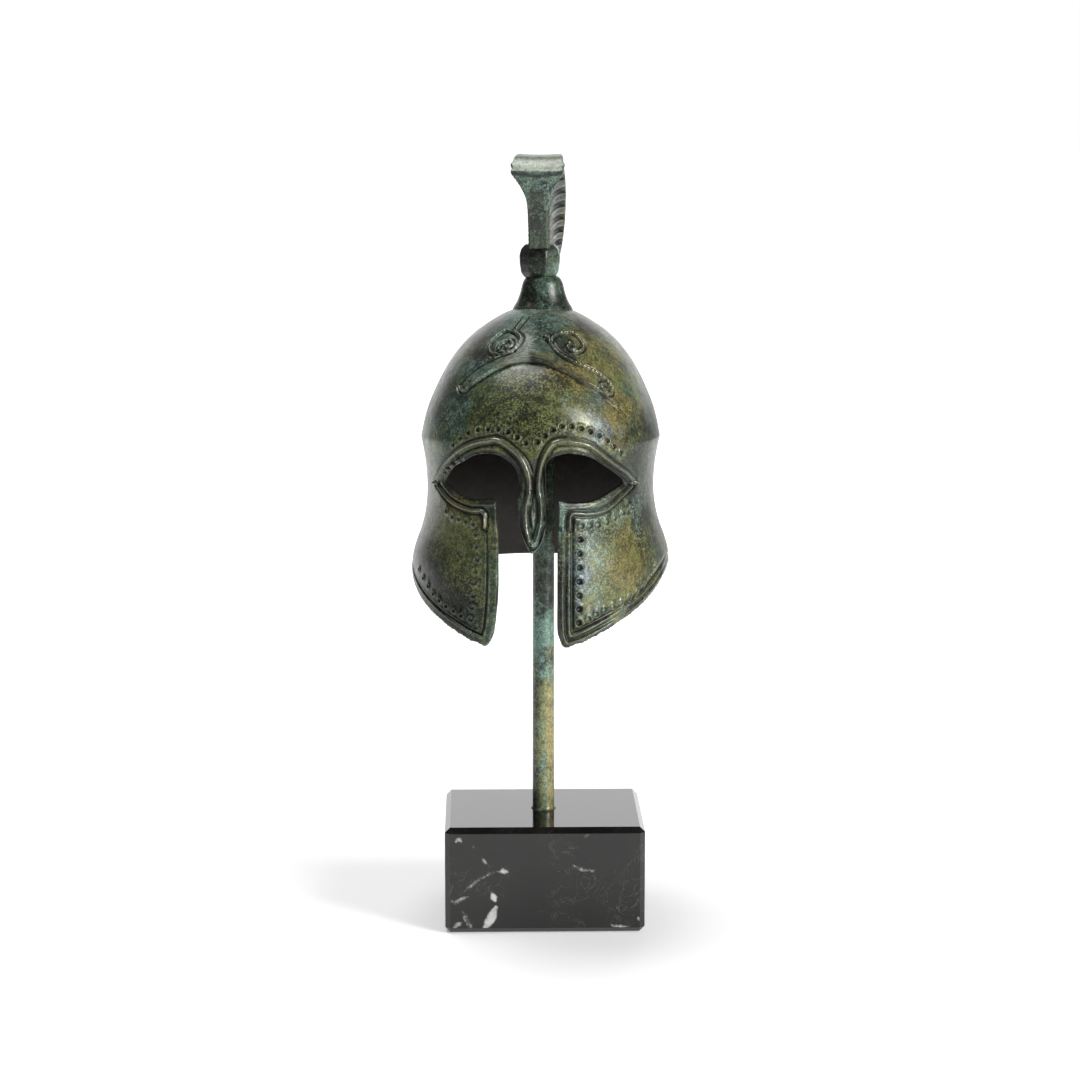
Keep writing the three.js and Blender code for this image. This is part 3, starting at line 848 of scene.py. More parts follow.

# %% [markdown]
# The patina is not even: the maker heats the bronze and brushes on salts, so each side takes another colour.
# Broad patches are laid down as soft round spots, as seen from the front, and the material breaks up their
# edges with noise of the size of the real mottling. The pale spots are painted highlights where the lamps
# catch the forehead, the keel and the crown, and two dark ones are painted shade.

# %% Patina and painted light laid down in soft spots
PATINA_AND_LIGHT_KINDS = ("teal", "green", "olive", "ochre", "dark", "blue", "pale_tone_and_highlight")
HELMET_BASE = {"teal": 0.08, "green": 0.3, "olive": 0.2, "ochre": 0.06, "dark": 0.22}
HELMET_SPOTS = {
    # kind: side, height, half width, half height, amount
    "teal": [(0.7, 156, 17, 4.5, 0.6), (-13, 142.8, 8, 2.6, 0.5), (13.5, 104, 4, 8, 0.05),
        (14.7, 108, 7, 4, 0.18), (24, 110, 2.5, 7, 0.25), (17, 99, 8, 12, 0.2),
        (2.3, 104, 1.2, 5, 0.6), (8, 110, 1.8, 7, 0.4), (-3, 150, 7, 4, 0.3), (-20, 129, 5, 6, 0.35),
        (-15, 134, 4, 4, 0.25), (-3, 155, 12, 3, 0.2)],
    "green": [(-13.3, 134.6, 6, 7, 0.6), (-9.2, 90, 1.8, 12, 0.6), (-25, 128, 4, 12, 0.3),
        (25, 140, 4, 10, 0.35), (-16, 104, 4, 5, 0.25), (0, 137, 9, 6, 0.2), (-21, 128, 5, 6, 0.3)],
    "olive": [(-4, 137, 9, 8, 0.35), (3, 130, 11, 5, 0.35), (-17, 104, 6, 8, 0.7),
        (21, 99, 7, 11, 0.65), (18, 92, 6, 5, 0.55), (-20, 149, 4, 5, 0.5), (17, 143, 7, 10, 0.45),
        (-14, 95, 6, 5, 0.3), (-13, 126, 8, 3, 0.3), (12, 126, 8, 3, 0.35), (10, 134, 8, 6, 0.25)],
    "ochre": [(14.7, 148.7, 6, 7, 0.35), (19.3, 137, 6, 11, 0.3), (6.3, 143, 6, 2.5, 0.35),
        (6.5, 140.5, 6, 4, 0.2), (21, 130, 4, 6, 0.3), (-19, 111, 5, 3, 0.35),
        (-11.6, 108, 2.5, 6, 0.3), (22.5, 99.3, 6, 9, 0.4), (24, 92, 5, 4, 0.3)],
    # dark: patches of dark patina; the spot at (1, 141.4) is painted shade under the brow ledge, and the
    # weak one at (13.5, 102) is painted shade that dims the lit patch of the right cheek
    "dark": [(1.9, 152.5, 4.5, 4, 0.25), (-16.5, 148.5, 6, 5, 0.25), (-22, 138, 5, 12, 0.3),
        (28.5, 106, 2.6, 8, 0.4), (27.5, 118, 3, 5, 0.3), (-26, 98, 5, 10, 0.35), (-16, 89, 8, 6, 0.4),
        (28, 130, 2.5, 10, 0.35), (28, 113, 3, 9, 0.6), (8.3, 92, 1.6, 9, 0.45),
        (-3.4, 134, 9, 5, 0.4), (1, 141.4, 8, 3, 0.65), (1, 128, 9, 2.5, 0.2), (16, 149.5, 4, 5, 0.1),
        (-22, 93, 7, 9, 0.1), (27, 113, 4, 9, 0.3), (2, 116, 3.5, 8, 0.3), (13.5, 102, 4, 6, 0.15)],
    "blue": [(16.2, 134.6, 3, 5, 0.5), (12, 97, 3, 12, 0.5), (26, 113, 2, 8, 0.3),
        (17, 128, 5, 3, 0.35), (-24, 143, 3, 6, 0.2)],
    # pale: painted highlights where the lamps catch the forehead, the keel, the brow arch and the crown
    "pale_tone_and_highlight": [(11, 133, 3.2, 3, 0.45), (-2.9, 147.6, 2.5, 4, 1.3), (9, 154.3, 4, 2.5, 0.35),
        (-3.6, 145.4, 3.4, 0.8, 0.4), (0.7, 156.5, 14, 2.4, 0.7)],
}


def lay_patina_and_painted_light(piece, base, spots, all_round=False):
    """Keeps the amount of each kind: an even base, and spots on the front or all round."""
    x, y, z = get_points(piece).T
    front = 1.0 if all_round else smoothstep(6, -20, y)
    for kind in PATINA_AND_LIGHT_KINDS:
        amount = np.full(len(x), float(base.get(kind, 0)))
        for side, up, wide, tall, strength in spots.get(kind, []):
            amount += strength * front * np.exp(-((x - side) / wide) ** 2 - ((z - up) / tall) ** 2)
        keep_measure(piece, kind, np.clip(amount, 0, 1))


lay_patina_and_painted_light(shell, HELMET_BASE, HELMET_SPOTS)
print("patina spots on the helmet", sum(len(spots) for spots in HELMET_SPOTS.values()))

# %% [markdown]
# The crest of such a helmet was horsehair set in a fan. Here it is one casting: thin where
# it rises from its collar, flared to a flat outer edge. Single hairs could be modelled,
# but cast metal has none. A grid is laid through a few stations, each a line from the
# inner to the outer edge. Its long sides are merged into a tube, the ends are filled, and
# a fine voxel remesh melts it into one body.

# %% Crest
CREST_STATIONS = np.array([
    # inner back, inner height, outer back, outer height, edge half width, flank half width
    (-6.1, 170.2, -11.3, 189.2, 6.5, 2.15),
    (-5.4, 170.3, -9.5, 191.1, 6.25, 2.3),
    (-4.6, 170.5, -6.6, 192.7, 5.95, 2.5),
    (-2.5, 170.6, -1.5, 193.08, 5.2, 2.6),
    (0.0, 170.7, 6.0, 191.5, 4.8, 2.7),
    (3.0, 170.6, 13.0, 188.2, 4.7, 2.75),
    (5.0, 170.0, 19.0, 183.2, 4.5, 2.75),
    (6.0, 168.8, 22.8, 176.5, 4.0, 2.6),
    (6.4, 167.5, 23.7, 170.4, 3.3, 2.4),
    (6.4, 166.7, 22.9, 166.9, 2.7, 2.1),
])
# share of the way out, and how much of the flare from flank to edge is reached there
CREST_FLARE = [(0, 0), (0.3, 0), (0.53, 0.05), (0.7, 0.27), (0.85, 0.63), (0.96, 0.98), (1, 0.97)]
LAST_STATION = len(CREST_STATIONS) - 1
ROWS_ALONG = 160
ROWS_UP = 40
ROWS_OVER = 12
EDGE_HOLLOW = 0.2
CREST_VOXEL = 0.22


def crest_rows(place):
    """Inner and outer points and half widths at places along the stations."""
    fine = smooth_line(CREST_STATIONS, 30)
    index = np.clip(place, 0, LAST_STATION) * (len(fine) - 1) / LAST_STATION
    return [np.interp(index, np.arange(len(fine)), fine[:, column]) for column in range(6)]


print("the fan is drawn at", len(CREST_STATIONS), "stations")

# %% [markdown]
# The grid runs along the stations one way and round the section the other, so a place on
# it is turned into a point by looking up how far out and how far across it lies.

# %% Casting of the crest
def make_crest():
    around = 2 * ROWS_UP + 2 * ROWS_OVER
    bpy.ops.object.select_all(action="DESELECT")
    bpy.ops.mesh.primitive_grid_add(x_subdivisions=around, y_subdivisions=ROWS_ALONG, size=1)
    fan = bpy.context.active_object
    fan.name = "crest_casting"
    flat = get_points(fan)
    ring = np.rint((flat[:, 0] + 0.5) * around).astype(int)
    inner_y, inner_z, outer_y, outer_z, edge, flank = crest_rows((flat[:, 1] + 0.5) * LAST_STATION)

    # around the section: up one flank, over the outer edge, down the other, and back
    up = np.linspace(0, 1, ROWS_UP + 1)
    over = np.linspace(1, -1, ROWS_OVER + 1)[1:-1]
    out = np.concatenate([up, np.ones(len(over)), up[::-1], np.zeros(len(over)), [0]])[ring]
    flanks = np.ones(ROWS_UP + 1)
    across = np.concatenate([flanks, over, -flanks, -over, [1]])[ring]
    flare = smooth_line(CREST_FLARE, 10)
    half = flank + (edge - flank) * np.interp(out, flare[:, 0], flare[:, 1])
    hollow = EDGE_HOLLOW * (1 - across ** 2) * (out > 0.999)
    y = inner_y + (outer_y - inner_y) * out
    z = inner_z + (outer_z - inner_z) * out - hollow
    set_points(fan, np.column_stack([half * across, y, z]))

    select_only(fan)
    bpy.ops.object.mode_set(mode="EDIT")
    bpy.ops.mesh.select_mode(type="EDGE")
    bpy.ops.mesh.select_all(action="SELECT")
    bpy.ops.mesh.remove_doubles(threshold=0.0005)
    bpy.ops.mesh.select_all(action="DESELECT")
    bpy.ops.mesh.select_non_manifold()
    bpy.ops.mesh.fill_holes(sides=0)
    bpy.ops.mesh.select_all(action="SELECT")
    bpy.ops.mesh.normals_make_consistent(inside=False)
    bpy.ops.object.mode_set(mode="OBJECT")
    apply_modifier(fan, "REMESH", mode="VOXEL", voxel_size=CREST_VOXEL, use_smooth_shade=True)
    apply_modifier(fan, "SMOOTH", factor=0.5, iterations=2)
    return fan


crest = make_crest()
print("crest", triangles(crest), "triangles")

# %% [markdown]
# Locks of hair flow back over both flanks, one groove between each two, behind a border of
# one thin ridge and one groove. The locks run nearly level, rise on their way back, and
# fade out at the fan's edges. So each point first learns where in the fan it lies: its
# station, and its share of the way out. A search tree finds that.

# %% Locks of the crest
RIB_PITCH = 2.75
RIB_DEPTH = 0.8
RIB_START = 1.3
BORDER_BEADS = [(1.0, 0.26, 0.35), (0.5, 0.26, -0.3)]
# height, and how far the locks at that height rise on their way back
LOCK_SWELL = [(166, 0.6), (178, 2.2), (190, 5.0)]


def fan_places(points):
    table = np.array([(place, out) for place in np.linspace(0, LAST_STATION, 260)
                      for out in np.linspace(0, 1, 60)])
    inner_y, inner_z, outer_y, outer_z, _, _ = crest_rows(table[:, 0])
    y = inner_y + (outer_y - inner_y) * table[:, 1]
    z = inner_z + (outer_z - inner_z) * table[:, 1]
    tree = KDTree(len(table))
    for index in range(len(table)):
        tree.insert((0, y[index], z[index]), index)
    tree.balance()
    nearest = [tree.find((0, point[1], point[2]))[1] for point in points]
    return table[nearest].T


def carve_locks(piece):
    """Carves the locks, keeps what the chasing rubbed together with a painted edge highlight and a painted
    shadow under the lip, and gives the flat outer face where it faces up.
    """
    points, normals = get_points(piece), get_normals(piece)
    place, out = fan_places(points)
    x, y, z = points.T
    sideways = np.abs(normals[:, 0])
    swell = np.interp(z, *np.transpose(LOCK_SWELL)) * (1 - np.exp(-(y + 6) / 7))
    along = (z - 166.4 - swell) / RIB_PITCH
    groove = smoothstep(0.3, 0.85, 0.5 + 0.5 * np.cos(2 * math.pi * along))
    window = smoothstep(0.0, 0.06, out) * smoothstep(0.99, 0.93, out)
    window *= smoothstep(0, 0.35, place - RIB_START)
    height = beads_beside(place, BORDER_BEADS) - RIB_DEPTH * groove * window
    height *= smoothstep(0.35, 0.7, sideways)
    set_points(piece, points + normals * height[:, None])

    # the front edge: its arrises get a painted highlight, and a painted shadow line runs under its lip
    arris = smoothstep(0.25, 0.5, sideways) * smoothstep(0.9, 0.6, sideways)
    lip = ridge(np.abs(out - 0.985 + 0.04 * (1 - (x / 6.5) ** 2)), 0.03)
    lip *= smoothstep(0.75, 0.95, -normals[:, 1]) * smoothstep(0.6, 0.1, place)
    wear_and_painted_light = 0.8 * height + 0.5 * arris * smoothstep(0.5, 0.2, place) - 0.4 * lip
    keep_measure(piece, "chased_and_painted_light", wear_and_painted_light)
    return smoothstep(0.25, 0.6, normals[:, 2]) * smoothstep(0.9, 0.97, out)


outer_face = carve_locks(crest)
lay_patina_and_painted_light(crest, {"teal": 0.25, "green": 0.32, "olive": 0.15, "dark": 0.15}, {
    "teal": [(-0.5, 189, 7, 4, 0.25)], "dark": [(3, 186, 2.0, 1.6, 0.5), (0.3, 177, 1.3, 8, 0.1)],
    "olive": [(4.5, 178, 1.2, 8, 0.3)]}, True)
# the outer face, where it faces up, is painted paler: partly its own tone, partly a painted highlight from
# the light above
keep_measure(crest, "pale_tone_and_highlight", outer_face * 0.6)
print("carved crest from", get_points(crest).min(axis=0).round(2),
      "to", get_points(crest).max(axis=0).round(2))

# %% [markdown]
# Collar, foot and rod are turned or faceted bodies. Spin would turn them from a profile,
# but only the round ones. Here each starts as a circle and is extruded upwards row by row,
# resized at each row, as one draws up a pot, and eight corners give a faceted collar.

# %% Turned pieces
def draw_up(name, sides, rows, centre, spin=0.0):
    """A circle extruded through rows of (radius, height); both ends are filled."""
    radius, height = rows[0]
    bpy.ops.object.select_all(action="DESELECT")
    bpy.ops.mesh.primitive_circle_add(vertices=sides, radius=radius, fill_type="NGON",
                                      location=(*centre, height), rotation=(0, 0, spin))
    piece = bpy.context.active_object
    piece.name = name
    bpy.ops.object.transform_apply(location=True, rotation=True, scale=True)
    bpy.ops.object.mode_set(mode="EDIT")
    bpy.ops.mesh.select_all(action="SELECT")
    for wider, higher in rows[1:]:
        bpy.ops.mesh.extrude_region_move(TRANSFORM_OT_translate={"value": (0, 0, higher - height)})
        factor = wider / radius
        bpy.ops.transform.resize(value=(factor, factor, 1), center_override=(*centre, higher))
        radius, height = wider, higher
    bpy.ops.mesh.select_all(action="SELECT")
    bpy.ops.mesh.normals_make_consistent(inside=False)
    bpy.ops.object.mode_set(mode="OBJECT")
    print(name, len(rows), "rows,", triangles(piece), "triangles")
    return piece


# %% [markdown]
# The collar is a bulb of eight soft facets, parted by a groove from the flared foot that
# spreads onto the dome. Bevel breaks the collar's arrises, and a remesh with a little
# smoothing wears them down as polishing does. The foot is plain and round.

# %% Collar and foot
COLLAR_CENTRE = (-0.5, 1.5)
COLLAR_ROWS = [
    # radius, height
    (3.6, 162.7), (4.1, 163.0), (4.85, 164.0), (5.2, 166.2), (5.3, 168.2), (4.9, 169.8), (3.8, 171.0),
]
collar = draw_up("collar_casting", 8, COLLAR_ROWS, COLLAR_CENTRE, math.radians(22.5))
apply_modifier(collar, "BEVEL", width=0.35, segments=3, limit_method="ANGLE",
               angle_limit=math.radians(20))
apply_modifier(collar, "REMESH", mode="VOXEL", voxel_size=0.2, use_smooth_shade=True)
apply_modifier(collar, "SMOOTH", factor=0.5, iterations=4)
# its front is darkened as painted shade under the crest, and its right facet is painted green and teal,
# partly its own colour and partly the light of the lamp on the right
lay_patina_and_painted_light(collar, {"teal": 0.1, "green": 0.2, "dark": 0.25}, {
    "dark": [(-1.9, 166.5, 2.8, 6, 0.6)], "green": [(3.9, 166.7, 1.7, 5, 0.9)],
    "teal": [(3.7, 165.3, 1.0, 1.6, 0.6)]}, True)

FOOT_CENTRE = (0.2, 1.5)
FOOT_PROFILE = [
    (7.9, 154.2), (7.5, 154.8), (7.1, 155.7), (6.4, 156.8), (5.9, 158.0), (5.5, 159.2),
    (5.2, 160.5), (4.8, 161.8), (4.2, 162.75), (3.7, 163.1),
]
foot = draw_up("foot_casting", 96, smooth_line(FOOT_PROFILE, 4).tolist(), FOOT_CENTRE)
# the pale spot is a painted highlight, and the dark spot on its left side is painted shade
lay_patina_and_painted_light(foot, {"teal": 0.25, "green": 0.3, "dark": 0.15}, {
    "dark": [(-3.4, 160, 2.6, 4, 0.45), (5.4, 157, 1.4, 2, 0.4)],
    "pale_tone_and_highlight": [(2.3, 158.3, 1.7, 0.8, 0.1)], "ochre": [(-2.6, 156.6, 0.7, 0.6, 0.8)]}, True)
print("collar after its remesh", triangles(collar), "triangles")

# %% [markdown]
# The rod is a plain drawn bar, set in a blind hole with a small bead of glue round it. Its
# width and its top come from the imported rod. A cylinder would give the shape, but the
# patina needs points along it to keep its amounts on, so it is drawn up in many rows.

# %% Rod
rod_width, _, _, rod_top = node_size("support_rod")
_, _, block_height, _ = node_size("marble_base")
ROD_SUNK = 10.0
ROD_ROWS = 90
TIP_CHAMFER = (0.35, 0.4)
# how far the glue stands out from the rod, and how high over the block
GLUE_BEAD = [(0.0, -0.2), (0.5, 0.02), (0.28, 0.22), (0.06, 0.5)]

rod_radius = rod_width / 2
rod_rows = [(rod_radius, block_height - ROD_SUNK)]
rod_rows += [(rod_radius + out, block_height + up) for out, up in GLUE_BEAD]
rod_rows += [(rod_radius, height) for height in
             np.linspace(block_height + 0.9, rod_top - TIP_CHAMFER[1], ROD_ROWS)]
rod_rows += [(rod_radius - TIP_CHAMFER[0], rod_top)]
rod = draw_up("rod_bar", 64, rod_rows, (0, 0))
# the ochre down its right side and the dark down its left edge are partly painted light and shade from the
# lamp on the right
lay_patina_and_painted_light(rod, {"teal": 0.12, "green": 0.3}, {
    "dark": [(0, 106, 5, 16, 0.15), (-2.7, 36, 0.9, 14, 0.45)],
    "teal": [(0, 72, 5, 9, 0.5), (0.2, 38, 0.8, 9, 0.3)],
    "ochre": [(1.9, 44, 1.6, 22, 0.6)], "olive": [(0.2, 46, 2.6, 21, 0.7)]}, True)
print("rod", round(2 * rod_radius, 2), "mm thick, top at", rod_top, "mm")

# %% [markdown]
# The base is a sawn block of black marble with a chamfer on every edge, cut by machine and
# polished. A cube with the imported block's size and a Bevel of one segment is just that,
# and a second, tiny bevel catches the light along the chamfers. The front face gets a fine
# grid, so that the veins can be kept on its points.

# %% Marble block
BLOCK_CHAMFER = 1.3
FINE_BEVEL = 0.08
FRONT_CUTS = 110
block_size = node_size("marble_base")[:3]

bpy.ops.object.select_all(action="DESELECT")
bpy.ops.mesh.primitive_cube_add(size=1, location=(0, 0, block_height / 2), scale=block_size)
block = bpy.context.active_object
block.name = "marble_block"
bpy.ops.object.transform_apply(location=True, rotation=True, scale=True)
apply_modifier(block, "BEVEL", width=BLOCK_CHAMFER, segments=1, limit_method="NONE", affect="EDGES")
select_only(block)
bpy.ops.object.mode_set(mode="EDIT")
bpy.ops.mesh.select_all(action="SELECT")
bpy.ops.mesh.bevel(offset=FINE_BEVEL, segments=2, affect="EDGES")
bpy.ops.object.mode_set(mode="OBJECT")
select_faces(block, [bool(face.normal.y < -0.99 and face.area > 100) for face in block.data.polygons])
bpy.ops.mesh.inset(thickness=0.02)
bpy.ops.mesh.subdivide(number_cuts=FRONT_CUTS)
bpy.ops.object.mode_set(mode="OBJECT")
print("block", block_size, "mm,", triangles(block), "triangles")

# %% [markdown]
# White calcite fills old cracks in the stone. Noise alone makes veins of one kind all
# over, so the broad ones of the front are drawn: a line, its half width and how white it
# is. Each thins out towards its ends.

# %% Veins of the front face
VEINS = [
    # line of side, height; half width; whiteness
    ([(-21.5, 10.0), (-16.9, 13.6), (-13.6, 15.5), (-10.6, 16.3), (-9.2, 16.5)], 0.28, 0.55),
    ([(-11.2, 16.3), (-9.4, 15.9)], 0.5, 0.8),
    ([(-24.5, 8.9), (-22.7, 8.1), (-21.0, 8.9), (-19.2, 9.5)], 0.35, 0.6),
    ([(-13.2, 10.2), (-12.4, 8.3)], 0.6, 1.0),
    ([(-12.3, 6.8), (-13.1, 5.0), (-14.1, 2.9), (-15.3, 1.2)], 0.85, 1.0),
    ([(-20.7, 5.7), (-19.6, 3.6), (-18.4, 0.8)], 0.65, 0.5),
    ([(-23.2, 0.8), (-21.9, 2.3), (-20.9, 2.9)], 0.45, 0.65),
    ([(-15.5, 19.4), (-14.7, 18.0)], 0.28, 0.8),
    ([(-14.1, 17.5), (-12.7, 17.1)], 0.45, 0.4),
    ([(-22.2, 23.7), (-21.6, 24.4), (-20.9, 23.8)], 0.26, 0.9),
    ([(-17.9, 22.2), (-17.6, 22.6)], 0.45, 0.4),
    ([(9.8, 24.4), (10.9, 25.6), (12.0, 26.1)], 0.28, 0.5),
    ([(3.3, 21.0), (5.4, 20.9)], 0.35, 0.35),
    ([(7.0, 17.6), (9.4, 16.3), (12.2, 16.0)], 0.22, 0.6),
    ([(15.2, 20.6), (17.2, 17.0), (16.9, 13.4), (13.9, 10.8)], 0.2, 0.3),
    ([(17.6, 7.2), (19.2, 5.4), (18.6, 3.6)], 0.9, 0.3),
    ([(16.6, 1.9), (18.4, 1.3), (24.2, 0.2)], 0.6, 0.7),
    ([(23.2, 3.9), (23.9, 3.2)], 0.35, 0.9),
    ([(-5.8, 2.4), (-3.8, 4.4), (0.0, 6.0), (2.5, 6.8)], 0.2, 0.35),
    ([(2.8, 12.5), (4.2, 13.3)], 0.3, 0.4),
    ([(22.2, 10.8), (22.8, 12.4)], 0.25, 0.5),
]


def draw_veins(piece, front):
    points = get_points(piece)
    white = np.zeros(len(points))
    for line, half_width, whiteness in VEINS:
        path = smooth_line([(side, front, up) for side, up in line], 6)
        distance, place = path_distance(points, path, 3)
        length = np.linalg.norm(np.diff(path, axis=0), axis=1).sum()
        taper = 0.3 + 0.9 * np.sin(math.pi * np.clip(place / length, 0, 1))
        depth = np.where(np.isfinite(distance), half_width * taper - distance, -5)
        white = np.maximum(white, whiteness * smoothstep(-0.75, 0.3, depth))
    keep_measure(piece, "vein", white * smoothstep(front + 1.0, front + 0.1, points[:, 1]))
    print(len(VEINS), "veins, white on", round((white > 0.5).mean() * 100, 1), "percent of the points")


draw_veins(block, -block_size[1] / 2)

# %% [markdown]
# Materials are node trees, and one small function adds a node, fills its sockets with
# values or with other nodes' outputs, and hands back one output to go on with. Colours are
# written as on a paint chart and turned to the linear values that the shader adds up.

# %% Material helpers
def colour(code):
    values = [int(code[place:place + 2], 16) / 255 for place in (1, 3, 5)]
    linear = [v / 12.92 if v <= 0.04045 else ((v + 0.055) / 1.055) ** 2.4 for v in values]
    return (*linear, 1.0)


def add_node(owner, kind, inputs=None, out=0, **settings):
    """Adds a shader node to a material or world; out names or counts the output wanted."""
    node = owner.node_tree.nodes.new("ShaderNode" + kind)
    for name, value in settings.items():
        setattr(node, name, value)
    for name, value in (inputs or {}).items():
        if isinstance(value, bpy.types.NodeSocket):
            owner.node_tree.links.new(value, node.inputs[name])
        else:
            node.inputs[name].default_value = value
    return node.outputs[out] if len(node.outputs) else node


def new_material(name):
    material = bpy.data.materials.new(name)
    material.use_nodes = True
    material.node_tree.nodes.clear()
    return material


print("black reads as", colour("#000000"), "and white as", colour("#ffffff"))

# %% [markdown]
# Patinated bronze: salts brushed on the hot metal leave a thin mineral crust, teal, green and ochre over
# dark brown, and wax gives it a soft shine. A scanned texture could show it, but would not know where the
# metal is raised. So colour is built as the maker does, coat over coat, each lying where its amount and its
# own noise together are high. The crust hides most of the metal, so the metallic value is low, and it rises
# where chasing has rubbed the high lines bare. Those high lines are also painted lighter, as a highlight,
# and beside the dark crust of the grooves run painted shadow lines under the brow arch and the crest's lip.

# %% Patterns and tones of the patina
GRAINS = {
    # size in mm, detail, roughness, distortion
    "mottle": (2.4, 5, 0.68, 0.5),
    "speckle": (0.5, 5, 0.8, 0.2),
    "blotch": (3.2, 7, 0.8, 0.3),
    "pit": (0.8, 5, 0.74, 0.8),
    "fleck": (0.9, 3, 0.6, 0.0),
}
STEPS = {
    # what is measured, value where it starts, value where it is full, full amount
    "ground_light": ("speckle", 0.43, 0.57, 1.0),
    "coat_light": ("speckle", 0.38, 0.62, 1.0),
    "dark_grain": ("speckle", 0.56, 0.46, 1.0),
    "wear_and_highlight_grain": ("speckle", 0.3, 0.62, 0.6),
    "blotched": ("blotch", 0.5, 0.57, 0.9),
    "pitted": ("pit", 0.525, 0.57, 1.0),
    "pit_field": ("mottle", 0.42, 0.54, 1.0),
    "flecked": ("fleck", 0.66, 0.74, 0.45),
    "bare_light": ("mottle", 0.35, 0.7, 1.0),
    # grooves: dark crust of the hollows, and painted shadow lines under the brow arch and the crest's lip;
    # raised lines: rubbed wear, painted lighter as a highlight
    "sunk_and_painted_shadow": ("chased_and_painted_light", -0.05, -0.26, 0.78),
    "raised": ("chased_and_painted_light", 0.12, 0.4, 1.0),
}
KEPT = ("dark", "pale_tone_and_highlight", "chased_and_painted_light", "crusted", "inside")
CAST_TONES = {
    # kind of coat: its darker and its lighter grains
    "green": ("#223028", "#5b7058"), "olive": ("#454928", "#7e8451"), "teal": ("#355349", "#86a294"),
    "ochre": ("#574f2b", "#8f8350"), "blue": ("#353f43", "#75858a"), "dark": ("#0b0c0b", "#22241d"),
    "pale_tone_and_highlight": ("#6a7064", "#8f9586"),
# the pale tone is the colour of the painted highlights, and of the crest's paler top
}
# the rod's tones are lighter than the castings': its own ochre and green, painted lighter as well where the
# lamp on the right lights it
ROD_TONES = {
    "green": ("#3c5044", "#7c9078"), "olive": ("#6b6c45", "#a6a972"), "teal": ("#48695f", "#8fb1a2"),
    "ochre": ("#7c7448", "#b3a66e"), "dark": ("#1c1f1d", "#3d413b"),
}
COAT_GRAIN = (1.3, 6, 0.78, 0.4)
COAT_PATCH = (6.0, 2, 0.5, 0.0)
COAT_START = 1.3
COAT_FULL = 1.74
COAT_STRENGTH = 0.88
SHIFT = (0.013, 0.007, 0.019)    # moves the noise of each coat, so that no two match
print(len(CAST_TONES), "coats on the castings,", len(ROD_TONES), "on the rod")

# %% [markdown]
# A coat is a pair: where it lies, and its colour. Its own noise is shifted from that of the
# others, a broad one varies it, and the amount kept on the piece lifts it over the limit
# where the coat starts. The dark coat is broken up by the finest grain.

# %% Coats of the patina
def grain_values(size_mm, detail, roughness, distortion, place):
    """What a noise node is filled with, for grains of a size in millimetres."""
    return {"Vector": place, "Scale": 1 / (size_mm * MM), "Detail": detail, "Roughness": roughness,
            "Distortion": distortion}


def coats_of(bronze, place, source, step, tones):
    """One coat for each tone: where it lies, and its colour."""
    coats = []
    for number, (kind, (low, high)) in enumerate(tones.items()):
        shifted = add_node(bronze, "Mapping", {
            "Vector": place, "Location": [number * along for along in SHIFT]})
        grain = add_node(bronze, "TexNoise", grain_values(*COAT_GRAIN, shifted))
        patch = add_node(bronze, "TexNoise", grain_values(*COAT_PATCH, shifted))
        value = add_node(bronze, "Math", {0: grain, 1: 1.3, 2: patch}, operation="MULTIPLY_ADD")
        value = add_node(bronze, "Math", {0: value, 1: source[kind]}, operation="ADD")
        where = add_node(bronze, "MapRange", {
            "Value": value, "From Min": COAT_START, "From Max": COAT_FULL, "To Max": COAT_STRENGTH},
            interpolation_type="SMOOTHSTEP")
        if kind == "dark":
            where = add_node(bronze, "Math", {0: where, 1: step["dark_grain"]}, operation="MULTIPLY")
        tone = add_node(bronze, "Mix", {0: step["coat_light"], 6: colour(low), 7: colour(high)},
                        out=2, data_type="RGBA")
        coats.append((where, tone))
    return coats


print("a coat starts at", COAT_START, "and is full at", COAT_FULL)

# %% [markdown]
# The tables become nodes in three loops: a noise for each grain, an attribute for each
# kept measure, a step for each limit. Then come the coats in the order that they are laid.

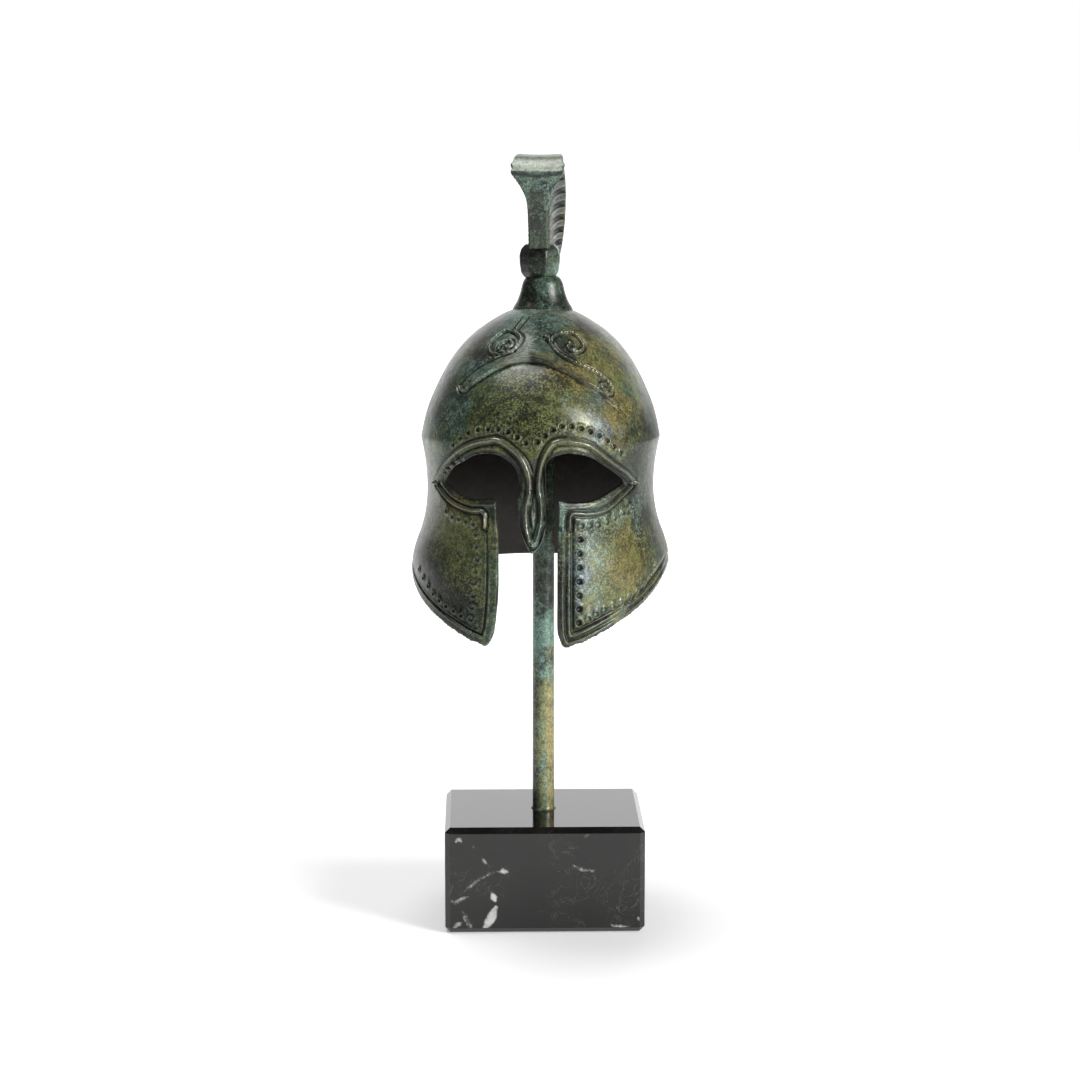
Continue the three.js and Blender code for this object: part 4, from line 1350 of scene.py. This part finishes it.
# %% Patinated bronze
def patinated_bronze(name, tones):
    bronze = new_material(name)
    place = add_node(bronze, "TexCoord", out="Object")
    source = {title: add_node(bronze, "TexNoise", grain_values(*grain, place))
              for title, grain in GRAINS.items()}
    for title in dict.fromkeys([*tones, *KEPT]):
        source[title] = add_node(bronze, "Attribute", out="Fac", attribute_name=title)
    step = {}
    for title, (measured, start, full, most) in STEPS.items():
        step[title] = add_node(bronze, "MapRange", {
            "Value": source[measured], "From Min": start, "From Max": full, "To Max": most},
            interpolation_type="SMOOTHSTEP")

    # blotches where the crust has not taken, most of them in the dark patches
    often = add_node(bronze, "Math", {0: source["dark"], 1: 1.2, 2: 0.25}, operation="MULTIPLY_ADD",
                     use_clamp=True)
    blotches = add_node(bronze, "Math", {0: step["blotched"], 1: often}, operation="MULTIPLY")
    # pits: more in the dark patches, and fewer under the pale tone and painted highlights
    pitting = add_node(bronze, "Math", {0: source["dark"], 1: 0.4}, operation="ADD")
    pitting = add_node(bronze, "Math", {0: pitting, 1: source["pale_tone_and_highlight"]}, operation="SUBTRACT", use_clamp=True)
    pits = add_node(bronze, "Math", {0: step["pitted"], 1: step["pit_field"]}, operation="MULTIPLY")
    pits = add_node(bronze, "Math", {0: pits, 1: pitting}, operation="MULTIPLY")
    # high lines rubbed bare, and painted lighter as a highlight too
    wear_and_painted_light = add_node(bronze, "Math", {0: step["raised"], 1: step["wear_and_highlight_grain"]}, operation="MULTIPLY")
    crust = add_node(bronze, "Math", {0: source["crusted"], 1: 0.75}, operation="MULTIPLY")
    ground, wall = (add_node(bronze, "Mix", {0: step[light], 6: colour(low), 7: colour(high)},
                             out=2, data_type="RGBA")
                    for light, low, high in (("ground_light", "#0d0f0d", "#2e3228"),
                                             ("bare_light", "#0c0907", "#2a211b")))
    coats = coats_of(bronze, place, source, step, tones)
    # 85877a lightens the rubbed high lines as a painted highlight, and #0b0c0b darkens the grooves and the
    # painted shadow lines
    coats += [(blotches, colour("#13150f")), (pits, colour("#0c0d0c")),
              (step["flecked"], colour("#8ea498")), (step["sunk_and_painted_shadow"], colour("#0b0c0b")),
              (wear_and_painted_light, colour("#85877a")), (crust, colour("#7c9488")), (source["inside"], wall)]
    shade = ground
    for where, tone in coats:
        shade = add_node(bronze, "Mix", {0: where, 6: shade, 7: tone}, out=2, data_type="RGBA")

    # wax on the crust, bare metal where it is rubbed, and a dull wall inside
    outside = add_node(bronze, "Math", {0: 1.0, 1: source["inside"]}, operation="SUBTRACT")
    metal = add_node(bronze, "Math", {0: wear_and_painted_light, 1: 0.15}, operation="ADD")
    metal = add_node(bronze, "Math", {0: metal, 1: outside}, operation="MULTIPLY")
    rough = add_node(bronze, "MapRange", {
        "Value": source["mottle"], "From Min": 0.3, "From Max": 0.7, "To Min": 0.26, "To Max": 0.38})
    rough = add_node(bronze, "Math", {0: wear_and_painted_light, 1: -0.16, 2: rough}, operation="MULTIPLY_ADD")
    rough = add_node(bronze, "Math", {0: source["inside"], 1: 0.4, 2: rough}, operation="MULTIPLY_ADD")
    relief = add_node(bronze, "Math", {0: source["speckle"], 1: source["mottle"]}, operation="ADD")
    bump = add_node(bronze, "Bump", {"Height": relief, "Strength": 0.4, "Distance": 0.06 * MM})
    surface = add_node(bronze, "BsdfPrincipled", {
        "Base Color": shade, "Metallic": metal, "Roughness": rough, "Normal": bump})
    add_node(bronze, "OutputMaterial", {"Surface": surface})
    print(name, "has", len(coats), "coats and", len(bronze.node_tree.nodes), "nodes")
    return bronze


cast_bronze = patinated_bronze("patinated_cast_bronze", CAST_TONES)
rod_bronze_painted_lighter = patinated_bronze("patinated_rod_bronze_painted_lighter", ROD_TONES)

# %% [markdown]
# Black marble: a fine dark limestone, sawn and polished to a mirror, so it shows the room
# at low angles. Faint thin veins run through every face where a cloud of noise crosses its
# middle value. The drawn veins are torn at their edges by a finer noise.

# %% Black marble
def black_marble():
    marble = new_material("polished_black_marble")
    place = add_node(marble, "TexCoord", out="Object")
    source = {title: add_node(marble, "TexNoise", grain_values(*grain, place)) for title, grain in (
        ("cloud", (14.0, 5, 0.6, 0.0)), ("fine", (1.2, 4, 0.6, 0.0)), ("warp", (9.0, 6, 0.65, 1.2)),
        ("field", (16.0, 2, 0.55, 0.0)), ("torn", (1.3, 7, 0.8, 0.0)))}
    drawn = add_node(marble, "Attribute", out="Fac", attribute_name="vein")
    off = add_node(marble, "Math", {0: source["warp"], 1: 0.5}, operation="SUBTRACT")
    off = add_node(marble, "Math", {0: off}, operation="ABSOLUTE")
    torn = add_node(marble, "Math", {0: source["torn"], 1: 1.8, 2: drawn}, operation="MULTIPLY_ADD")
    cloud, line, field, white = (
        add_node(marble, "MapRange", {"Value": value, "From Min": start, "From Max": full, "To Max": most},
                 interpolation_type="SMOOTHSTEP")
        for value, start, full, most in ((source["cloud"], 0.3, 0.7, 1.0), (off, 0.005, 0.0, 1.0),
                                         (source["field"], 0.5, 0.62, 0.35), (torn, 1.22, 2.0, 1.0)))
    fine = add_node(marble, "Math", {0: source["fine"], 1: 0.3}, operation="MULTIPLY")
    thin = add_node(marble, "Math", {0: line, 1: field}, operation="MULTIPLY")
    shade = colour("#0c0c0c")
    for where, tone in ((cloud, "#181716"), (fine, "#2c2926"), (thin, "#8f8d88"), (white, "#c2c4c0")):
        shade = add_node(marble, "Mix", {0: where, 6: shade, 7: colour(tone)}, out=2, data_type="RGBA")
    surface = add_node(marble, "BsdfPrincipled", {"Base Color": shade, "Roughness": 0.08, "IOR": 1.5})
    add_node(marble, "OutputMaterial", {"Surface": surface})
    print("marble has", len(marble.node_tree.nodes), "nodes")
    return marble


marble = black_marble()

# %% [markdown]
# Every finished piece is handed over in the same way: turned to metres and set in its place, given its
# material, shaded smooth, and tied to the root body, and the imported node that it replaces is hidden. Foot,
# rod and block keep the edges that are sharper than a limit of 40 or 10 degrees, so rims stay crisp and the
# faces of the block stay flat.

# %% Hand the pieces over
def finish_piece(piece, place, node, material, sharp=None):
    piece.data.transform(place)
    piece.data.materials.clear()
    piece.data.materials.append(material)
    select_only(piece)
    if sharp is None:
        bpy.ops.object.shade_smooth()
    else:
        bpy.ops.object.shade_smooth_by_angle(angle=math.radians(sharp))
    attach(piece, "root")
    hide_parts(node)
    print(piece.name, triangles(piece), "triangles")


finish_piece(shell, HELMET_PLACE, "helmet_shell", cast_bronze)
finish_piece(crest, HELMET_PLACE, "crest", cast_bronze)
finish_piece(collar, HELMET_PLACE, "crest_collar", cast_bronze)
finish_piece(foot, HELMET_PLACE, "crest_foot", cast_bronze, 40)
finish_piece(rod, ROD_PLACE, "support_rod", rod_bronze_painted_lighter, 40)
finish_piece(block, ROD_PLACE, "marble_base", marble, 10)

# %% [markdown]
# The studio is a white room whose floor runs into its walls. Polished metal seen almost
# edge on mirrors whatever is behind it, and an even white floor would wash the helmet's
# sides out. So the floor shows white to the camera, and what it gives to reflections
# fades out to both sides.

# %% Floor
FLOOR_SIZE = 12

bpy.ops.object.select_all(action="DESELECT")
bpy.ops.mesh.primitive_plane_add(size=FLOOR_SIZE, location=(0, 0, -0.0002))
floor = bpy.context.active_object
floor.name = "studio_floor"
paper = new_material("white_paper")
spot = add_node(paper, "TexCoord", out="Object")
away = add_node(paper, "VectorMath", {0: spot}, out="Value", operation="LENGTH")
glow = add_node(paper, "MapRange", {
    "Value": away, "From Min": 0.1, "From Max": 0.5, "To Min": 0.25, "To Max": 1.0})
ground = add_node(paper, "SeparateXYZ", {0: spot}).node.outputs
sideways = add_node(paper, "Math", {0: ground["X"]}, operation="ABSOLUTE")
past_left = add_node(paper, "Math", {0: ground["Y"], 1: sideways}, operation="SUBTRACT")
right_limit = add_node(paper, "Math", {0: ground["Y"], 1: 0.85}, operation="ADD")
past_right = add_node(paper, "Math", {0: right_limit, 1: -0.22, 2: ground["X"]}, operation="MULTIPLY_ADD")
lit = glow
for value, start, full in ((past_right, 0.06, -0.02), (past_left, -0.45, -0.3)):
    side = add_node(paper, "MapRange", {"Value": value, "From Min": start, "From Max": full},
                    interpolation_type="SMOOTHSTEP")
    lit = add_node(paper, "Math", {0: lit, 1: side}, operation="MULTIPLY")
seen = add_node(paper, "LightPath", out="Is Camera Ray")
glow = add_node(paper, "Mix", {0: seen, 2: lit, 3: glow})
surface = add_node(paper, "BsdfPrincipled", {
    "Base Color": (0.93, 0.93, 0.93, 1), "Roughness": 0.9, "Specular IOR Level": 0.1,
    "Emission Color": (1, 1, 1, 1), "Emission Strength": glow})
add_node(paper, "OutputMaterial", {"Surface": surface})
floor.data.materials.append(paper)
print("floor", FLOOR_SIZE, "m wide")

# %% [markdown]
# The walls are white to the camera too. To the metal only the far wall is bright, which
# draws a thin white line along the outlines, and the rest of the room is dim, so that the
# front keeps its depth.

# %% Walls
world = bpy.data.worlds.new("white_room")
bpy.context.scene.world = world
world.use_nodes = True
world.node_tree.nodes.clear()
direction = add_node(world, "TexCoord", out="Generated")
depth = add_node(world, "SeparateXYZ", {0: direction}, out="Y")
far_wall = add_node(world, "MapRange", {
    "Value": depth, "From Min": 0.74, "From Max": 0.94, "To Min": 0.1, "To Max": 1.6},
    interpolation_type="SMOOTHSTEP")
seen = add_node(world, "LightPath", out="Is Camera Ray")
strength = add_node(world, "Mix", {0: seen, 2: far_wall, 3: 1.0})
room = add_node(world, "Background", {"Color": (1, 1, 1, 1), "Strength": strength})
add_node(world, "OutputWorld", {"Surface": room})
print("room of", len(world.node_tree.nodes), "nodes")

# %% [markdown]
# Three soft boxes light it: a large one on the right, above the camera, that gives the lit
# spots of the forehead and the cheek, a low one beside it for the cheek's foot, and one
# overhead for the dome. The camera stands a little above the helmet's height with a long
# lens, so that upright lines stay nearly upright.

# %% Light and camera
def soft_box(name, location, size, watts):
    data = bpy.data.lights.new(name, "AREA")
    data.shape = "RECTANGLE"
    data.size, data.size_y = size
    data.energy = watts
    lamp = bpy.data.objects.new(name, data)
    lamp.location = location
    lamp.rotation_euler = (HELMET_MIDDLE - lamp.location).to_track_quat("-Z", "Y").to_euler()
    bpy.context.scene.collection.objects.link(lamp)


HELMET_MIDDLE = Vector((0, 0, 0.11))
soft_box("right_box", (0.74, -0.55, 0.46), (0.36, 0.36), 9.5)
soft_box("low_right_box", (0.66, -0.68, 0.10), (0.3, 0.16), 1.6)
soft_box("top_box", (-0.15, 0.05, 0.95), (0.5, 0.42), 5.0)

camera_data = bpy.data.cameras.new("camera")
camera_data.lens = 94.3
camera_data.sensor_width = 36
camera_data.clip_start = 0.05
camera_data.clip_end = 50
camera = bpy.data.objects.new("camera", camera_data)
camera.location = (-0.01524, -0.70174, 0.21598)
target = Vector((-0.000875, 0.0, 0.09643))
camera.rotation_euler = (target - camera.location).to_track_quat("-Z", "Y").to_euler()
bpy.context.scene.collection.objects.link(camera)
bpy.context.scene.camera = camera
bpy.context.scene.view_settings.view_transform = "Standard"
print("camera", round((target - camera.location).length, 3), "m away")
